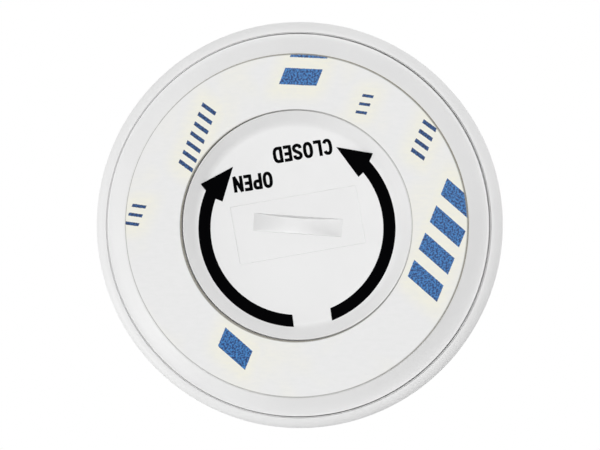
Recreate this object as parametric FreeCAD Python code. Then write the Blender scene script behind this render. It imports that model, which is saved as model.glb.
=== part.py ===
import FreeCAD, Part
import math
import os

from FreeCAD import Vector

os.makedirs("parts", exist_ok=True)

# A round temperature and humidity sensor that is stuck to a wall.
# All sizes are millimetres. The sensor's axis is Y and its back faces -Y. The outer
# face of the release liner lies in the plane y = 0, and the front is at high y.
# Angles are degrees, counted anticlockwise from +X by someone who looks at the back.
# A profile is drawn in the XY plane, x as the radius and y as the depth, and turned about Y.

# Outer form
BODY_RADIUS = 30.0
RIM_ROUND = 1.7
FRONT_ROUND = 3.6
SIDE_WALL = 2.2
FRONT_WALL = 1.8
FRONT_HEADROOM = 1.0

# Adhesive ring and its liner
LINER_THICKNESS = 0.12
PAD_THICKNESS = 0.64
PAD_MARGIN = 0.15

# Rear cover
SEAM_GAP = 0.15
BEVEL_RUN = 2.75
BEVEL_DROP = 1.44
COVER_EDGE = 0.8
DOOR_BOSS_WALL = 2.8
RIB_COUNT = 8
RIB_FIRST_ANGLE = 0.0
RIB_WIDTH = 0.9
RIB_HEIGHT = 1.1
RIB_END_GAP = 0.15

# Snap hooks of the rear cover and their catches in the front shell
HOOK_ANGLES = (22.0, 112.0, 202.0, 292.0)
HOOK_WIDTH = 5.0
HOOK_THICKNESS = 1.0
HOOK_REACH = 0.75
HOOK_HEAD = 1.5
HOOK_GAP = 0.1
HOOK_SETBACK = 0.4
CATCH_PROUD = 0.7
CATCH_DEPTH = 1.0
CATCH_START = 2.8
CATCH_SPARE_SPAN = 4.0

# Coin cell
CELL_RADIUS = 12.25
CELL_THICKNESS = 5.0
CELL_CRIMP_WALL = 0.55
CELL_GASKET_WALL = 0.5
CELL_CAP_RISE = 0.35
CELL_CAP_DEPTH = 1.1
CELL_EDGE_CHAMFER = 0.4
CELL_TO_DOOR = 0.15
CELL_TO_HOLDER = 0.15
CELL_CLEARANCE = 0.2

# Battery holder
HOLDER_WALL = 1.25
HOLDER_FLOOR = 0.8
HOLDER_RIM_BELOW_CELL = 0.7
HOLDER_WINDOW_RADIUS = 7.5
HOLDER_GAP_WIDTH = 5.4

# Battery door, its bayonet and its coin slot
SKIRT_CLEARANCE = 0.4
SKIRT_WALL = 1.4
DOOR_RUNNING_GAP = 0.2
DOOR_END_FLOAT = 0.1
LUG_OVERLAP = 1.0
LUG_THICKNESS = 1.0
LUG_LEAD = 0.4
LUG_COUNT = 3
LUG_SPAN = 20.0
LUG_SIDE_GAP = 0.5
LUG_CLOSED_ANGLE = 75.0
DOOR_TURN = 25.0
STOP_SPAN = 4.0
STOP_DEPTH = 1.2
FLANGE_OVERHANG = 0.15
DOOR_GAP = 0.15
DOOR_SETBACK = 0.05
FLANGE_THICKNESS = 1.5
LEDGE_THICKNESS = 1.1
DISH_DEPTH = 1.2
DISH_RIM = 0.12
DISH_RUN = 2.33
DISH_BLEND_RUN = 1.0
DISH_BLEND_RISE = 0.28
DOOR_FLOOR = 1.4
SLOT_WIDTH = 2.6
SLOT_DEPTH = 1.6
SLOT_COIN_RADIUS = 15.0
SLOT_ANGLE = -4.0
SLOT_SIDE_WALL = 0.8
SLOT_BOTTOM_WALL = 0.5
FIELD_LENGTH = 18.8
FIELD_WIDTH = 8.6
FIELD_DEPTH = 0.1
FIELD_ANGLE = 10.0
DOOR_RIB_WIDTH = 1.0
DOOR_RIB_COUNT = 4

# Main board
BOARD_THICKNESS = 1.0
BOARD_EDGE_GAP = 1.2
BOARD_SLIT_WIDTH = 0.8
BOARD_SLIT_LENGTH = 5.0

# Screws that hold the board to the front shell
SCREW_COUNT = 3
SCREW_FIRST_ANGLE = 150.0
SCREW_INSET = 4.1
SCREW_RADIUS = 0.85
SCREW_LENGTH = 3.0
SCREW_HEAD_RADIUS = 1.6
SCREW_HEAD_HEIGHT = 1.1
SCREW_HOLE_GAP = 0.1
SCREW_END_GAP = 0.4
SCREW_SLOT_WIDTH = 0.5
SCREW_SLOT_DEPTH = 0.5
SCREW_BOSS_WALL = 1.5

# Vents in the side wall, with the membrane behind them
VENT_ANGLE = 83.4
VENT_COUNT = 4
VENT_LENGTH = 2.7
VENT_WIDTH = 0.8
VENT_PITCH = 1.5
VENT_FIRST = 1.4
MEMBRANE_THICKNESS = 0.3
MEMBRANE_GLUE = 0.02
MEMBRANE_MARGIN = 0.6

# Humidity sensor chip
SENSOR_SIDE = 2.5
SENSOR_HEIGHT = 0.9
SENSOR_INSET = 2.6
SENSOR_WINDOW_RADIUS = 0.6
SENSOR_WINDOW_DEPTH = 0.3

# Pairing switch and the pin hole in front of it
SWITCH_ANGLE = 45.4
SWITCH_WIDTH = 4.6
SWITCH_LENGTH = 3.2
SWITCH_HEIGHT = 3.0
SWITCH_INSET = 0.9
PLUNGER_WIDTH = 2.0
PLUNGER_HEIGHT = 1.2
PLUNGER_PROUD = 1.2
PLUNGER_BURIED = 0.8
PLUNGER_TRAVEL = 0.3
PLUNGER_SIDE_GAP = 0.06
PLUNGER_END_GAP = 0.15
PIN_HOLE_RADIUS = 0.65

# Battery contacts
CONTACT_THICKNESS = 0.25
CONTACT_TOUCH_GAP = 0.02
SIDE_CONTACT_WIDTH = 4.2
SIDE_CONTACT_FOOT = 2.2
SIDE_CONTACT_STANDOFF = 0.3
SIDE_CONTACT_HEIGHT = 4.6
SIDE_CONTACT_FLAT = 0.6
SIDE_CONTACT_SLOPE = 35.0
END_CONTACT_WIDTH = 3.0
END_CONTACT_FOOT = 2.4
END_CONTACT_SPAN = 4.2
END_CONTACT_TIP = 1.2

# Status lamp and its light pipe
PIPE_ANGLE = 263.4
PIPE_TO_BOSS = 1.85
PIPE_RADIUS = 1.0
PIPE_GAP = 0.05
PIPE_FLANGE_RADIUS = 1.7
PIPE_FLANGE_THICKNESS = 0.6
PIPE_RECESS = 0.03
LED_LENGTH = 1.6
LED_WIDTH = 0.8
LED_HEIGHT = 0.6
LED_TO_PIPE = 0.25

# Radio module
RADIO_X = 5.5
RADIO_Z = 5.0
RADIO_LENGTH = 16.0
RADIO_WIDTH = 12.0
RADIO_BOARD_THICKNESS = 0.8
SHIELD_LENGTH = 12.5
SHIELD_WIDTH = 10.0
SHIELD_HEIGHT = 2.0
SHIELD_WALL = 0.25
SHIELD_SHIFT = -1.3
SHIELD_ROUND = 0.5
CHIP_SIDE = 5.0
CHIP_HEIGHT = 0.85
ANTENNA_LENGTH = 5.0
ANTENNA_WIDTH = 1.8
ANTENNA_HEIGHT = 1.0
ANTENNA_SHIFT = 6.6

# Small parts on the front of the main board
CRYSTAL_SIZE = (3.2, 0.8, 1.5)
CRYSTAL_PLACE = (-8.0, 9.5)
MEMORY_SIZE = (4.9, 1.5, 3.9)
MEMORY_PLACE = (-10.0, 3.0)
MEMORY_LEAD_COUNT = 4
MEMORY_LEAD_PITCH = 1.27
MEMORY_LEAD_WIDTH = 0.4
MEMORY_LEAD_REACH = 1.0
MEMORY_LEAD_THICKNESS = 0.25
TANTALUM_SIZE = (3.5, 1.9, 2.8)
TANTALUM_PLACE = (-9.0, -6.0)
INDUCTOR_SIDE = 3.0
INDUCTOR_HEIGHT = 1.2
INDUCTOR_CORNER = 0.7
INDUCTOR_PLACE = (-2.5, -6.5)
PASSIVE_LENGTH = 1.6
PASSIVE_WIDTH = 0.8
CAPACITOR_HEIGHT = 0.8
RESISTOR_HEIGHT = 0.45
PASSIVE_COUNT = 6
PASSIVE_PITCH = 2.2
CAPACITOR_ROW = (-5.0, -10.5)
RESISTOR_ROW = (5.0, -6.5)

# Radii that follow from the cell outwards to the door hole
holder_inner_radius = CELL_RADIUS + CELL_CLEARANCE
holder_outer_radius = holder_inner_radius + HOLDER_WALL
skirt_inner_radius = holder_outer_radius + SKIRT_CLEARANCE
skirt_outer_radius = skirt_inner_radius + SKIRT_WALL
ledge_radius = skirt_outer_radius + DOOR_RUNNING_GAP
lug_radius = ledge_radius + LUG_OVERLAP
door_radius = lug_radius + FLANGE_OVERHANG
hole_radius = door_radius + DOOR_GAP
door_boss_radius = ledge_radius + DOOR_BOSS_WALL

# Radii that follow from the outside inwards
mouth_radius = BODY_RADIUS - RIM_ROUND
cover_radius = mouth_radius - SEAM_GAP
land_radius = cover_radius - BEVEL_RUN
pad_radius = land_radius - PAD_MARGIN
inner_radius = BODY_RADIUS - SIDE_WALL
rib_end_radius = inner_radius - RIB_END_GAP
catch_radius = inner_radius - CATCH_PROUD
hook_outer_radius = catch_radius - HOOK_SETBACK
board_radius = inner_radius - BOARD_EDGE_GAP
screw_place = board_radius - SCREW_INSET
boss_radius = SCREW_RADIUS + SCREW_HOLE_GAP + SCREW_BOSS_WALL
pipe_place = screw_place - boss_radius - PIPE_TO_BOSS - PIPE_FLANGE_RADIUS

# Depths that follow from the wall inwards
pad_y = LINER_THICKNESS
back_y = pad_y + PAD_THICKNESS
seam_y = back_y + BEVEL_DROP
seat_y = seam_y + COVER_EDGE
door_y = back_y + DOOR_SETBACK
dish_y = door_y + DISH_DEPTH
door_inner_y = dish_y + DOOR_FLOOR
flange_y = door_y + FLANGE_THICKNESS
ledge_y = flange_y + DOOR_END_FLOAT
ledge_under_y = ledge_y + LEDGE_THICKNESS
lug_y = ledge_under_y + DOOR_END_FLOAT
lug_end_y = lug_y + LUG_THICKNESS
slot_bottom_y = dish_y + SLOT_DEPTH
slot_boss_y = slot_bottom_y + SLOT_BOTTOM_WALL
cell_y = max(slot_boss_y, door_inner_y) + CELL_TO_DOOR
cell_end_y = cell_y + CELL_THICKNESS
holder_y = cell_y + HOLDER_RIM_BELOW_CELL
holder_floor_y = cell_end_y + CELL_TO_HOLDER
board_y = holder_floor_y + HOLDER_FLOOR
board_front_y = board_y + BOARD_THICKNESS
shield_y = board_front_y + RADIO_BOARD_THICKNESS
inner_front_y = shield_y + SHIELD_HEIGHT + FRONT_HEADROOM
front_y = inner_front_y + FRONT_WALL
catch_y = seam_y + CATCH_START
catch_end_y = catch_y + CATCH_DEPTH
latch_y = catch_end_y + HOOK_GAP
switch_y = board_y - SWITCH_HEIGHT / 2

# How many flats stand for the front's wide round, and for each smaller round
WIDE_ROUND_STEPS = 3
ROUND_STEPS = 2
# How far one solid is sunk into another of the same node before they are joined
JOIN = 0.2
# How far a cutting tool runs past the surface that it cuts
PAST = 1.0

# How far a direction may be off and still count as straight
NEAR = 1e-6

ORIGIN = Vector(0, 0, 0)
AXIS = Vector(0, 1, 0)


def at(radius, depth):
    """A point of a profile, at a radius and a depth."""
    return Vector(radius, depth, 0)


def face_of(start, *steps):
    """A flat face. Each step is the end of a line, or a middle and an end of an arc."""
    edges = []
    here = start
    for step in steps:
        if isinstance(step, tuple):
            middle, end = step
            edges.append(Part.Arc(here, middle, end).toShape())
        else:
            end = step
            edges.append(Part.makeLine(here, end))
        here = end
    if here is not start:
        edges.append(Part.makeLine(here, start))
    return Part.Face(Part.Wire(edges))


def turned(face, span=360.0):
    """A profile turned about the sensor's axis, with its middle at angle 0."""
    solid = face.revolve(ORIGIN, AXIS, span)
    if span < 360.0:
        solid.rotate(ORIGIN, AXIS, -span / 2)
    return solid


def ring(inner, outer, low_y, high_y, span=360.0):
    """A ring, or a stretch of one, with a plain rectangular section."""
    section = face_of(at(inner, low_y), at(outer, low_y), at(outer, high_y), at(inner, high_y))
    return turned(section, span)


def disc(radius, low_y, high_y):
    """A round plate or pin on the sensor's axis."""
    return Part.makeCylinder(radius, high_y - low_y, Vector(0, low_y, 0), AXIS)


def placed(solid, angle, radius=0.0):
    """A copy moved out along X by a radius and then swung to an angle."""
    copy = solid.copy()
    copy.translate(Vector(radius, 0, 0))
    copy.rotate(ORIGIN, AXIS, -angle)
    return copy


def block(x_size, y_size, z_size, x=0.0, y=0.0, z=0.0):
    """A block centred on x and z, with its back face at depth y."""
    return Part.makeBox(x_size, y_size, z_size, Vector(x - x_size / 2, y, z - z_size / 2))


def prism(face, width):
    """An XY face given a width along Z, centred on the XY plane."""
    solid = face.extrude(Vector(0, 0, width))
    solid.translate(Vector(0, 0, -width / 2))
    return solid


def joined(first, *others):
    """One solid from several that overlap."""
    return first.fuse(list(others)).removeSplitter()


def rounded(start, end, centre, steps=ROUND_STEPS):
    """Points along the short arc from start to end about a centre, without the start itself."""
    first = start - centre
    last = end - centre
    turn = math.atan2(first.x * last.y - first.y * last.x, first.dot(last))
    points = []
    for index in range(1, steps):
        angle = turn * index / steps
        across = first.x * math.cos(angle) - first.y * math.sin(angle)
        along = first.x * math.sin(angle) + first.y * math.cos(angle)
        points.append(centre + at(across, along))
    return points + [end]


def upright_edges(solid):
    """The straight edges of a block that run along the sensor's axis."""
    return [edge for edge in solid.Edges if abs(edge.tangentAt(0).y) > 1 - NEAR]


def strip(points, thickness, width):
    """A bent metal strip: a line of points in the XY plane, thickened evenly to its left."""
    sides = []
    for start, end in zip(points, points[1:]):
        along = end - start
        along.normalize()
        sides.append(Vector(-along.y, along.x, 0))
    offset = [points[0] + sides[0] * thickness]
    for point, before, after in zip(points[1:-1], sides, sides[1:]):
        middle = before + after
        offset.append(point + middle * (2 * thickness / middle.dot(middle)))
    offset.append(points[-1] + sides[-1] * thickness)
    return prism(face_of(*points, *reversed(offset)), width)


# Adhesive ring
def adhesive_pad():
    """A foam tape ring that is sticky on both faces and fits the rear cover's flat land."""
    return ring(hole_radius, pad_radius, pad_y, back_y)


def release_liner():
    """The printed paper ring that is peeled off before the sensor is stuck up."""
    return ring(hole_radius, pad_radius, 0.0, pad_y)


# Front shell
def shell_outside():
    """The shell's outer form as a full solid: rounded rim, straight side, rounded front."""
    side_y = seam_y + RIM_ROUND
    round_y = front_y - FRONT_ROUND
    flat_radius = BODY_RADIUS - FRONT_ROUND
    rim_start = at(mouth_radius, seam_y)
    rim = rounded(rim_start, at(BODY_RADIUS, side_y), at(mouth_radius, side_y))
    side_end = at(BODY_RADIUS, round_y)
    front_centre = at(flat_radius, round_y)
    front = rounded(side_end, at(flat_radius, front_y), front_centre, WIDE_ROUND_STEPS)
    return turned(face_of(at(0, seam_y), rim_start, *rim, side_end, *front, at(0, front_y)))


def shell_cavity():
    """The space inside the shell, with the wider mouth that the rear cover seats in."""
    mouth = disc(mouth_radius, seam_y - PAST, seat_y)
    return joined(mouth, disc(inner_radius, seam_y - PAST, inner_front_y))


def vent_slit(depth):
    """A cutter for one slit through the side wall, long round the rim, with round ends."""
    half_width = VENT_WIDTH / 2
    half_run = VENT_LENGTH / 2 - half_width
    start_x = inner_radius - PAST
    low_left = Vector(start_x, depth - half_width, -half_run)
    low_right = Vector(start_x, depth - half_width, half_run)
    high_right = Vector(start_x, depth + half_width, half_run)
    high_left = Vector(start_x, depth + half_width, -half_run)
    right_end = Vector(start_x, depth, half_run + half_width)
    left_end = Vector(start_x, depth, -half_run - half_width)
    face = face_of(low_left, low_right, (right_end, high_right), high_left, (left_end, low_left))
    return face.extrude(Vector(SIDE_WALL + 2 * PAST, 0, 0))


def vent_depth(index):
    """The depth of a slit's middle line."""
    return seam_y + VENT_FIRST + index * VENT_PITCH


def screw_angles():
    """The angles of the board screws and their bosses."""
    return [SCREW_FIRST_ANGLE + index * 360.0 / SCREW_COUNT for index in range(SCREW_COUNT)]


def screw_boss():
    """A post that rises from the front wall to the board, with its screw hole."""
    post = disc(boss_radius, board_front_y, inner_front_y + JOIN)
    hole_end_y = board_y + SCREW_LENGTH + BOARD_THICKNESS + SCREW_END_GAP
    return post, disc(SCREW_RADIUS + SCREW_HOLE_GAP, board_front_y - PAST, hole_end_y)


def catch_rib():
    """A short rib inside the side wall that a snap hook grips."""
    span = math.degrees(HOOK_WIDTH / catch_radius) + CATCH_SPARE_SPAN
    section = face_of(
        at(inner_radius + JOIN, catch_y - CATCH_PROUD - JOIN),
        at(catch_radius, catch_y),
        at(catch_radius, catch_end_y),
        at(inner_radius + JOIN, catch_end_y),
    )
    return turned(section, span)


def front_shell():
    """The cup-shaped front with its vents, pin hole, lamp hole, screw bosses and catches."""
    shell = shell_outside().cut(shell_cavity())
    posts = []
    holes = []
    post, hole = screw_boss()
    for angle in screw_angles():
        posts.append(placed(post, angle, screw_place))
        holes.append(placed(hole, angle, screw_place))
    for angle in HOOK_ANGLES:
        posts.append(placed(catch_rib(), angle))
    for index in range(VENT_COUNT):
        holes.append(placed(vent_slit(vent_depth(index)), VENT_ANGLE))
    hole_start = Vector(inner_radius - PAST, switch_y, 0)
    pin_hole = Part.makeCylinder(PIN_HOLE_RADIUS, SIDE_WALL + 2 * PAST, hole_start, Vector(1, 0, 0))
    holes.append(placed(pin_hole, SWITCH_ANGLE))
    lamp_hole = disc(PIPE_RADIUS + PIPE_GAP, inner_front_y - PAST, front_y + PAST)
    holes.append(placed(lamp_hole, PIPE_ANGLE, pipe_place))
    return joined(shell, *posts).cut(holes)


# Rear cover
def cover_plate():
    """The cover turned in one piece: bevel, flat land, seat and stepped door hole."""
    profile = face_of(
        at(hole_radius, back_y),
        at(land_radius, back_y),
        at(cover_radius, seam_y),
        at(cover_radius, seat_y),
        at(door_boss_radius, seat_y),
        at(door_boss_radius, ledge_under_y),
        at(ledge_radius, ledge_under_y),
        at(ledge_radius, ledge_y),
        at(hole_radius, ledge_y),
    )
    return turned(profile)


def snap_hook():
    """A springy arm that stands on the cover's inside and grips a catch rib."""
    root_y = seat_y - JOIN
    tip_y = latch_y + HOOK_HEAD
    inner = hook_outer_radius - HOOK_THICKNESS
    section = face_of(
        at(inner, root_y),
        at(hook_outer_radius, root_y),
        at(hook_outer_radius, latch_y),
        at(hook_outer_radius + HOOK_REACH, latch_y),
        at(hook_outer_radius, tip_y),
        at(inner, tip_y),
    )
    return prism(section, HOOK_WIDTH)


def stiffening_rib():
    """A radial rib inside the cover, whose outer end centres the cover in the shell."""
    inner = door_boss_radius - JOIN
    length = rib_end_radius - inner
    depth = RIB_HEIGHT + JOIN
    return block(length, depth, RIB_WIDTH, inner + length / 2, seat_y - JOIN)


def lug_angles():
    """The angles of the door's lugs when the door is closed."""
    return [LUG_CLOSED_ANGLE + index * 360.0 / LUG_COUNT for index in range(LUG_COUNT)]


def bayonet_stop():
    """A short rib under the ledge that a lug turns up against."""
    outer = lug_radius + DOOR_RUNNING_GAP
    return ring(ledge_radius, outer, ledge_under_y - JOIN, ledge_under_y + STOP_DEPTH, STOP_SPAN)


def rear_cover():
    """The back of the case, with the bayonet track for the door and four snap hooks."""
    plate = cover_plate()
    added = []
    cuts = []
    gate_span = LUG_SPAN + 2 * LUG_SIDE_GAP
    gate_radius = lug_radius + FLANGE_OVERHANG / 2
    gate_end_y = ledge_under_y + STOP_DEPTH + PAST
    gate = ring(ledge_radius - PAST, gate_radius, ledge_y - JOIN / 2, gate_end_y, gate_span)
    stop_offset = (gate_span + STOP_SPAN) / 2
    for angle in lug_angles():
        cuts.append(placed(gate, angle - DOOR_TURN))
        added.append(placed(bayonet_stop(), angle + stop_offset))
        added.append(placed(bayonet_stop(), angle - DOOR_TURN - stop_offset))
    for angle in HOOK_ANGLES:
        added.append(placed(snap_hook(), angle))
    for index in range(RIB_COUNT):
        added.append(placed(stiffening_rib(), RIB_FIRST_ANGLE + index * 360.0 / RIB_COUNT))
    return joined(plate, *added).cut(cuts)


# Battery door
def door_blank():
    """The door turned in one piece: dished face, flange and skirt."""
    rim_radius = door_radius - DISH_RIM
    floor_radius = rim_radius - DISH_RUN
    profile = face_of(
        at(0, dish_y),
        at(floor_radius, dish_y),
        at(floor_radius + DISH_BLEND_RUN, dish_y - DISH_BLEND_RISE),
        at(rim_radius, door_y),
        at(door_radius, door_y),
        at(door_radius, flange_y),
        at(skirt_outer_radius, flange_y),
        at(skirt_outer_radius, lug_end_y),
        at(skirt_inner_radius, lug_end_y),
        at(skirt_inner_radius, door_inner_y),
        at(0, door_inner_y),
    )
    return turned(profile)


def bayonet_lug():
    """A lug on the skirt that turns in under the cover's ledge, with a sloping lead."""
    inner = skirt_outer_radius - JOIN
    section = face_of(
        at(inner, lug_y),
        at(lug_radius, lug_y),
        at(lug_radius, lug_end_y - LUG_LEAD),
        at(lug_radius - LUG_LEAD, lug_end_y),
        at(inner, lug_end_y),
    )
    return turned(section, LUG_SPAN)


def coin_disc(radius, width):
    """A disc that stands across the door like a coin in the slot, before the slot's angle."""
    centre_y = slot_bottom_y - SLOT_COIN_RADIUS
    return Part.makeCylinder(radius, width, Vector(0, centre_y, -width / 2), Vector(0, 0, 1))


def slot_boss():
    """The thicker stretch under the coin slot, cut off level with the inside of the door."""
    boss = coin_disc(SLOT_COIN_RADIUS + SLOT_BOTTOM_WALL, SLOT_WIDTH + 2 * SLOT_SIDE_WALL)
    side = 2 * skirt_inner_radius
    below = block(side, slot_boss_y - dish_y, side, y=door_inner_y - JOIN)
    return boss.common(below)


def door_rib():
    """A rib inside the door that holds the cell down, from the slot boss to the skirt."""
    inner = SLOT_WIDTH / 2
    length = skirt_inner_radius + JOIN - inner
    depth = cell_y - CELL_TO_DOOR - door_inner_y + JOIN
    return block(length, depth, DOOR_RIB_WIDTH, inner + length / 2, door_inner_y - JOIN)


def battery_door():
    """The round door with its coin slot, shallow label field and bayonet lugs."""
    door = door_blank()
    added = [placed(slot_boss(), SLOT_ANGLE)]
    rib_step = 360.0 / DOOR_RIB_COUNT
    for angle in lug_angles():
        added.append(placed(bayonet_lug(), angle))
    for index in range(DOOR_RIB_COUNT):
        added.append(placed(door_rib(), SLOT_ANGLE + (index + 0.5) * rib_step))
    slot = placed(coin_disc(SLOT_COIN_RADIUS, SLOT_WIDTH), SLOT_ANGLE)
    field = block(FIELD_LENGTH, FIELD_DEPTH + PAST, FIELD_WIDTH, y=dish_y - PAST)
    return joined(door, *added).cut([slot, placed(field, FIELD_ANGLE)])


# Coin cell
def cell_can():
    """The cell's positive can, with its side wall crimped over at the far end."""
    crimp_y = cell_end_y - CELL_CAP_RISE
    floor_y = cell_end_y - CELL_CAP_DEPTH
    crimp_radius = CELL_RADIUS - CELL_CRIMP_WALL
    profile = face_of(
        at(0, cell_y),
        at(CELL_RADIUS - CELL_EDGE_CHAMFER, cell_y),
        at(CELL_RADIUS, cell_y + CELL_EDGE_CHAMFER),
        at(CELL_RADIUS, crimp_y),
        at(crimp_radius, crimp_y),
        at(crimp_radius, floor_y),
        at(0, floor_y),
    )
    return turned(profile)


def cell_gasket():
    """The plastic ring between the can and the cap."""
    outer = CELL_RADIUS - CELL_CRIMP_WALL
    low_y = cell_end_y - CELL_CAP_DEPTH
    return ring(outer - CELL_GASKET_WALL, outer, low_y, cell_end_y - CELL_CAP_RISE)


def cell_cap():
    """The cell's negative cap, which faces the board."""
    radius = CELL_RADIUS - CELL_CRIMP_WALL - CELL_GASKET_WALL
    return disc(radius, cell_end_y - CELL_CAP_DEPTH, cell_end_y)


# Battery holder and contacts
def battery_holder():
    """The moulded ring on the board that holds the cell, open where the contacts reach in."""
    wall = ring(holder_inner_radius, holder_outer_radius, holder_y, board_y)
    floor = ring(HOLDER_WINDOW_RADIUS, holder_outer_radius - JOIN, holder_floor_y, board_y)
    inner = holder_inner_radius - PAST
    reach = holder_outer_radius + PAST - inner
    height = board_y - holder_y + PAST
    gap = block(reach, height, HOLDER_GAP_WIDTH, inner + reach / 2, holder_y - PAST)
    gaps = [placed(gap, angle) for angle in (0.0, 180.0)]
    return joined(wall, floor).cut(gaps)


def side_contact():
    """A spring strip that stands on the board and presses on the side of the can."""
    stand = holder_outer_radius + SIDE_CONTACT_STANDOFF
    slope = math.radians(SIDE_CONTACT_SLOPE)
    touch = CELL_RADIUS + CONTACT_TOUCH_GAP + CONTACT_THICKNESS / math.cos(slope)
    bend = stand - SIDE_CONTACT_FLAT
    reach = bend - touch
    top_y = board_y - SIDE_CONTACT_HEIGHT
    touch_y = top_y + reach / math.tan(slope)
    points = [
        at(stand + SIDE_CONTACT_FOOT, board_y),
        at(stand, board_y),
        at(stand, top_y),
        at(bend, top_y),
        at(touch, touch_y),
        at(touch + reach / 2, (3 * touch_y - top_y) / 2),
    ]
    return strip(points, CONTACT_THICKNESS, SIDE_CONTACT_WIDTH)


def positive_contacts():
    """The two side contacts, one at each gap in the holder."""
    return Part.makeCompound([placed(side_contact(), angle) for angle in (0.0, 180.0)])


def negative_contact():
    """A leaf spring on the board that presses on the middle of the cap."""
    touch_y = cell_end_y + CONTACT_TOUCH_GAP
    points = [
        at(-END_CONTACT_SPAN - END_CONTACT_FOOT, board_y),
        at(-END_CONTACT_SPAN, board_y),
        at(0, touch_y + CONTACT_THICKNESS),
        at(END_CONTACT_TIP, touch_y + 2 * CONTACT_THICKNESS),
    ]
    return strip(points, -CONTACT_THICKNESS, END_CONTACT_WIDTH)


# Boards
def main_board():
    """The round board, with screw holes and two slits that keep the sensor chip cool."""
    board = disc(board_radius, board_y, board_front_y)
    cuts = []
    hole = disc(SCREW_RADIUS + SCREW_HOLE_GAP, board_y - PAST, board_front_y + PAST)
    for angle in screw_angles():
        cuts.append(placed(hole, angle, screw_place))
    slit = block(BOARD_SLIT_LENGTH, BOARD_THICKNESS + 2 * PAST, BOARD_SLIT_WIDTH, y=board_y - PAST)
    for side in (-1, 1):
        shifted = slit.copy()
        shifted.translate(Vector(0, 0, side * (SENSOR_SIDE / 2 + BOARD_SLIT_WIDTH)))
        cuts.append(placed(shifted, VENT_ANGLE, board_radius - SENSOR_INSET))
    return board.cut(cuts)


def board_screws():
    """The three pan-head screws, as a group."""
    head_y = board_y - SCREW_HEAD_HEIGHT
    shank = disc(SCREW_RADIUS, board_y - JOIN, board_y + SCREW_LENGTH + BOARD_THICKNESS)
    screw = joined(shank, disc(SCREW_HEAD_RADIUS, head_y, board_y))
    slot = block(2 * SCREW_HEAD_RADIUS + PAST, SCREW_SLOT_DEPTH + PAST, SCREW_SLOT_WIDTH, y=head_y - PAST)
    screw = screw.cut(slot)
    return Part.makeCompound([placed(screw, angle, screw_place) for angle in screw_angles()])


def on_board(size, place, y=board_front_y):
    """A rectangular part that stands on the front of the main board, or at a given depth."""
    return block(size[0], size[1], size[2], place[0], y, place[1])


def radio_board():
    """The small board of the radio module."""
    return on_board((RADIO_LENGTH, RADIO_BOARD_THICKNESS, RADIO_WIDTH), (RADIO_X, RADIO_Z))


def radio_chip():
    """The radio's processor, under the shield."""
    return on_board((CHIP_SIDE, CHIP_HEIGHT, CHIP_SIDE), (RADIO_X + SHIELD_SHIFT, RADIO_Z), shield_y)


def radio_shield():
    """The pressed metal can over the radio chip, open towards its board."""
    place = (RADIO_X + SHIELD_SHIFT, RADIO_Z)
    can = on_board((SHIELD_LENGTH, SHIELD_HEIGHT, SHIELD_WIDTH), place, shield_y)
    can = can.makeFillet(SHIELD_ROUND, upright_edges(can))
    inside_length = SHIELD_LENGTH - 2 * SHIELD_WALL
    inside_width = SHIELD_WIDTH - 2 * SHIELD_WALL
    inside = (inside_length, SHIELD_HEIGHT - SHIELD_WALL + PAST, inside_width)
    return can.cut(on_board(inside, place, shield_y - PAST))


def chip_antenna():
    """The ceramic antenna at the end of the radio board."""
    size = (ANTENNA_WIDTH, ANTENNA_HEIGHT, ANTENNA_LENGTH)
    return on_board(size, (RADIO_X + ANTENNA_SHIFT, RADIO_Z), shield_y)


# Small parts on the boards
def humidity_sensor():
    """The sensor chip on the back of the board, with the opening to its sensing film."""
    place = board_radius - SENSOR_INSET
    top_y = board_y - SENSOR_HEIGHT
    chip = block(SENSOR_SIDE, SENSOR_HEIGHT, SENSOR_SIDE, place, top_y)
    window = disc(SENSOR_WINDOW_RADIUS, top_y - PAST, top_y + SENSOR_WINDOW_DEPTH)
    window.translate(Vector(place, 0, 0))
    return placed(chip.cut(window), VENT_ANGLE)


def vent_membrane():
    """A breathable film stuck inside the side wall, over the vents."""
    outer = inner_radius - MEMBRANE_GLUE
    span = math.degrees((VENT_LENGTH + 2 * MEMBRANE_MARGIN) / outer)
    high_y = vent_depth(VENT_COUNT - 1) + VENT_WIDTH / 2 + MEMBRANE_MARGIN
    film = ring(outer - MEMBRANE_THICKNESS, outer, seat_y + MEMBRANE_GLUE, high_y, span)
    return placed(film, VENT_ANGLE)


def status_led():
    """The lamp on the front of the board, under the light pipe."""
    led = block(LED_LENGTH, LED_HEIGHT, LED_WIDTH, 0, board_front_y)
    return placed(led, PIPE_ANGLE, pipe_place)


def light_pipe():
    """The clear pin that brings the lamp's light to the front face."""
    start_y = board_front_y + LED_HEIGHT + LED_TO_PIPE
    pin = disc(PIPE_RADIUS, start_y, front_y - PIPE_RECESS)
    flange = disc(PIPE_FLANGE_RADIUS, inner_front_y - PIPE_FLANGE_THICKNESS, inner_front_y)
    return placed(joined(pin, flange), PIPE_ANGLE, pipe_place)


def switch_face():
    """The radius of the switch's outer face."""
    return board_radius - SWITCH_INSET


def switch_body():
    """The pairing switch's case at the board's edge, with the pocket its plunger slides in."""
    outer = switch_face()
    middle = outer - SWITCH_LENGTH / 2
    case = block(SWITCH_LENGTH, SWITCH_HEIGHT, SWITCH_WIDTH, middle, board_y - SWITCH_HEIGHT)
    reach = PLUNGER_BURIED + PLUNGER_TRAVEL + PLUNGER_END_GAP
    height = PLUNGER_HEIGHT + 2 * PLUNGER_SIDE_GAP
    width = PLUNGER_WIDTH + 2 * PLUNGER_SIDE_GAP
    pocket = block(reach + PAST, height, width, outer + (PAST - reach) / 2, switch_y - height / 2)
    return placed(case.cut(pocket), SWITCH_ANGLE)


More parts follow.
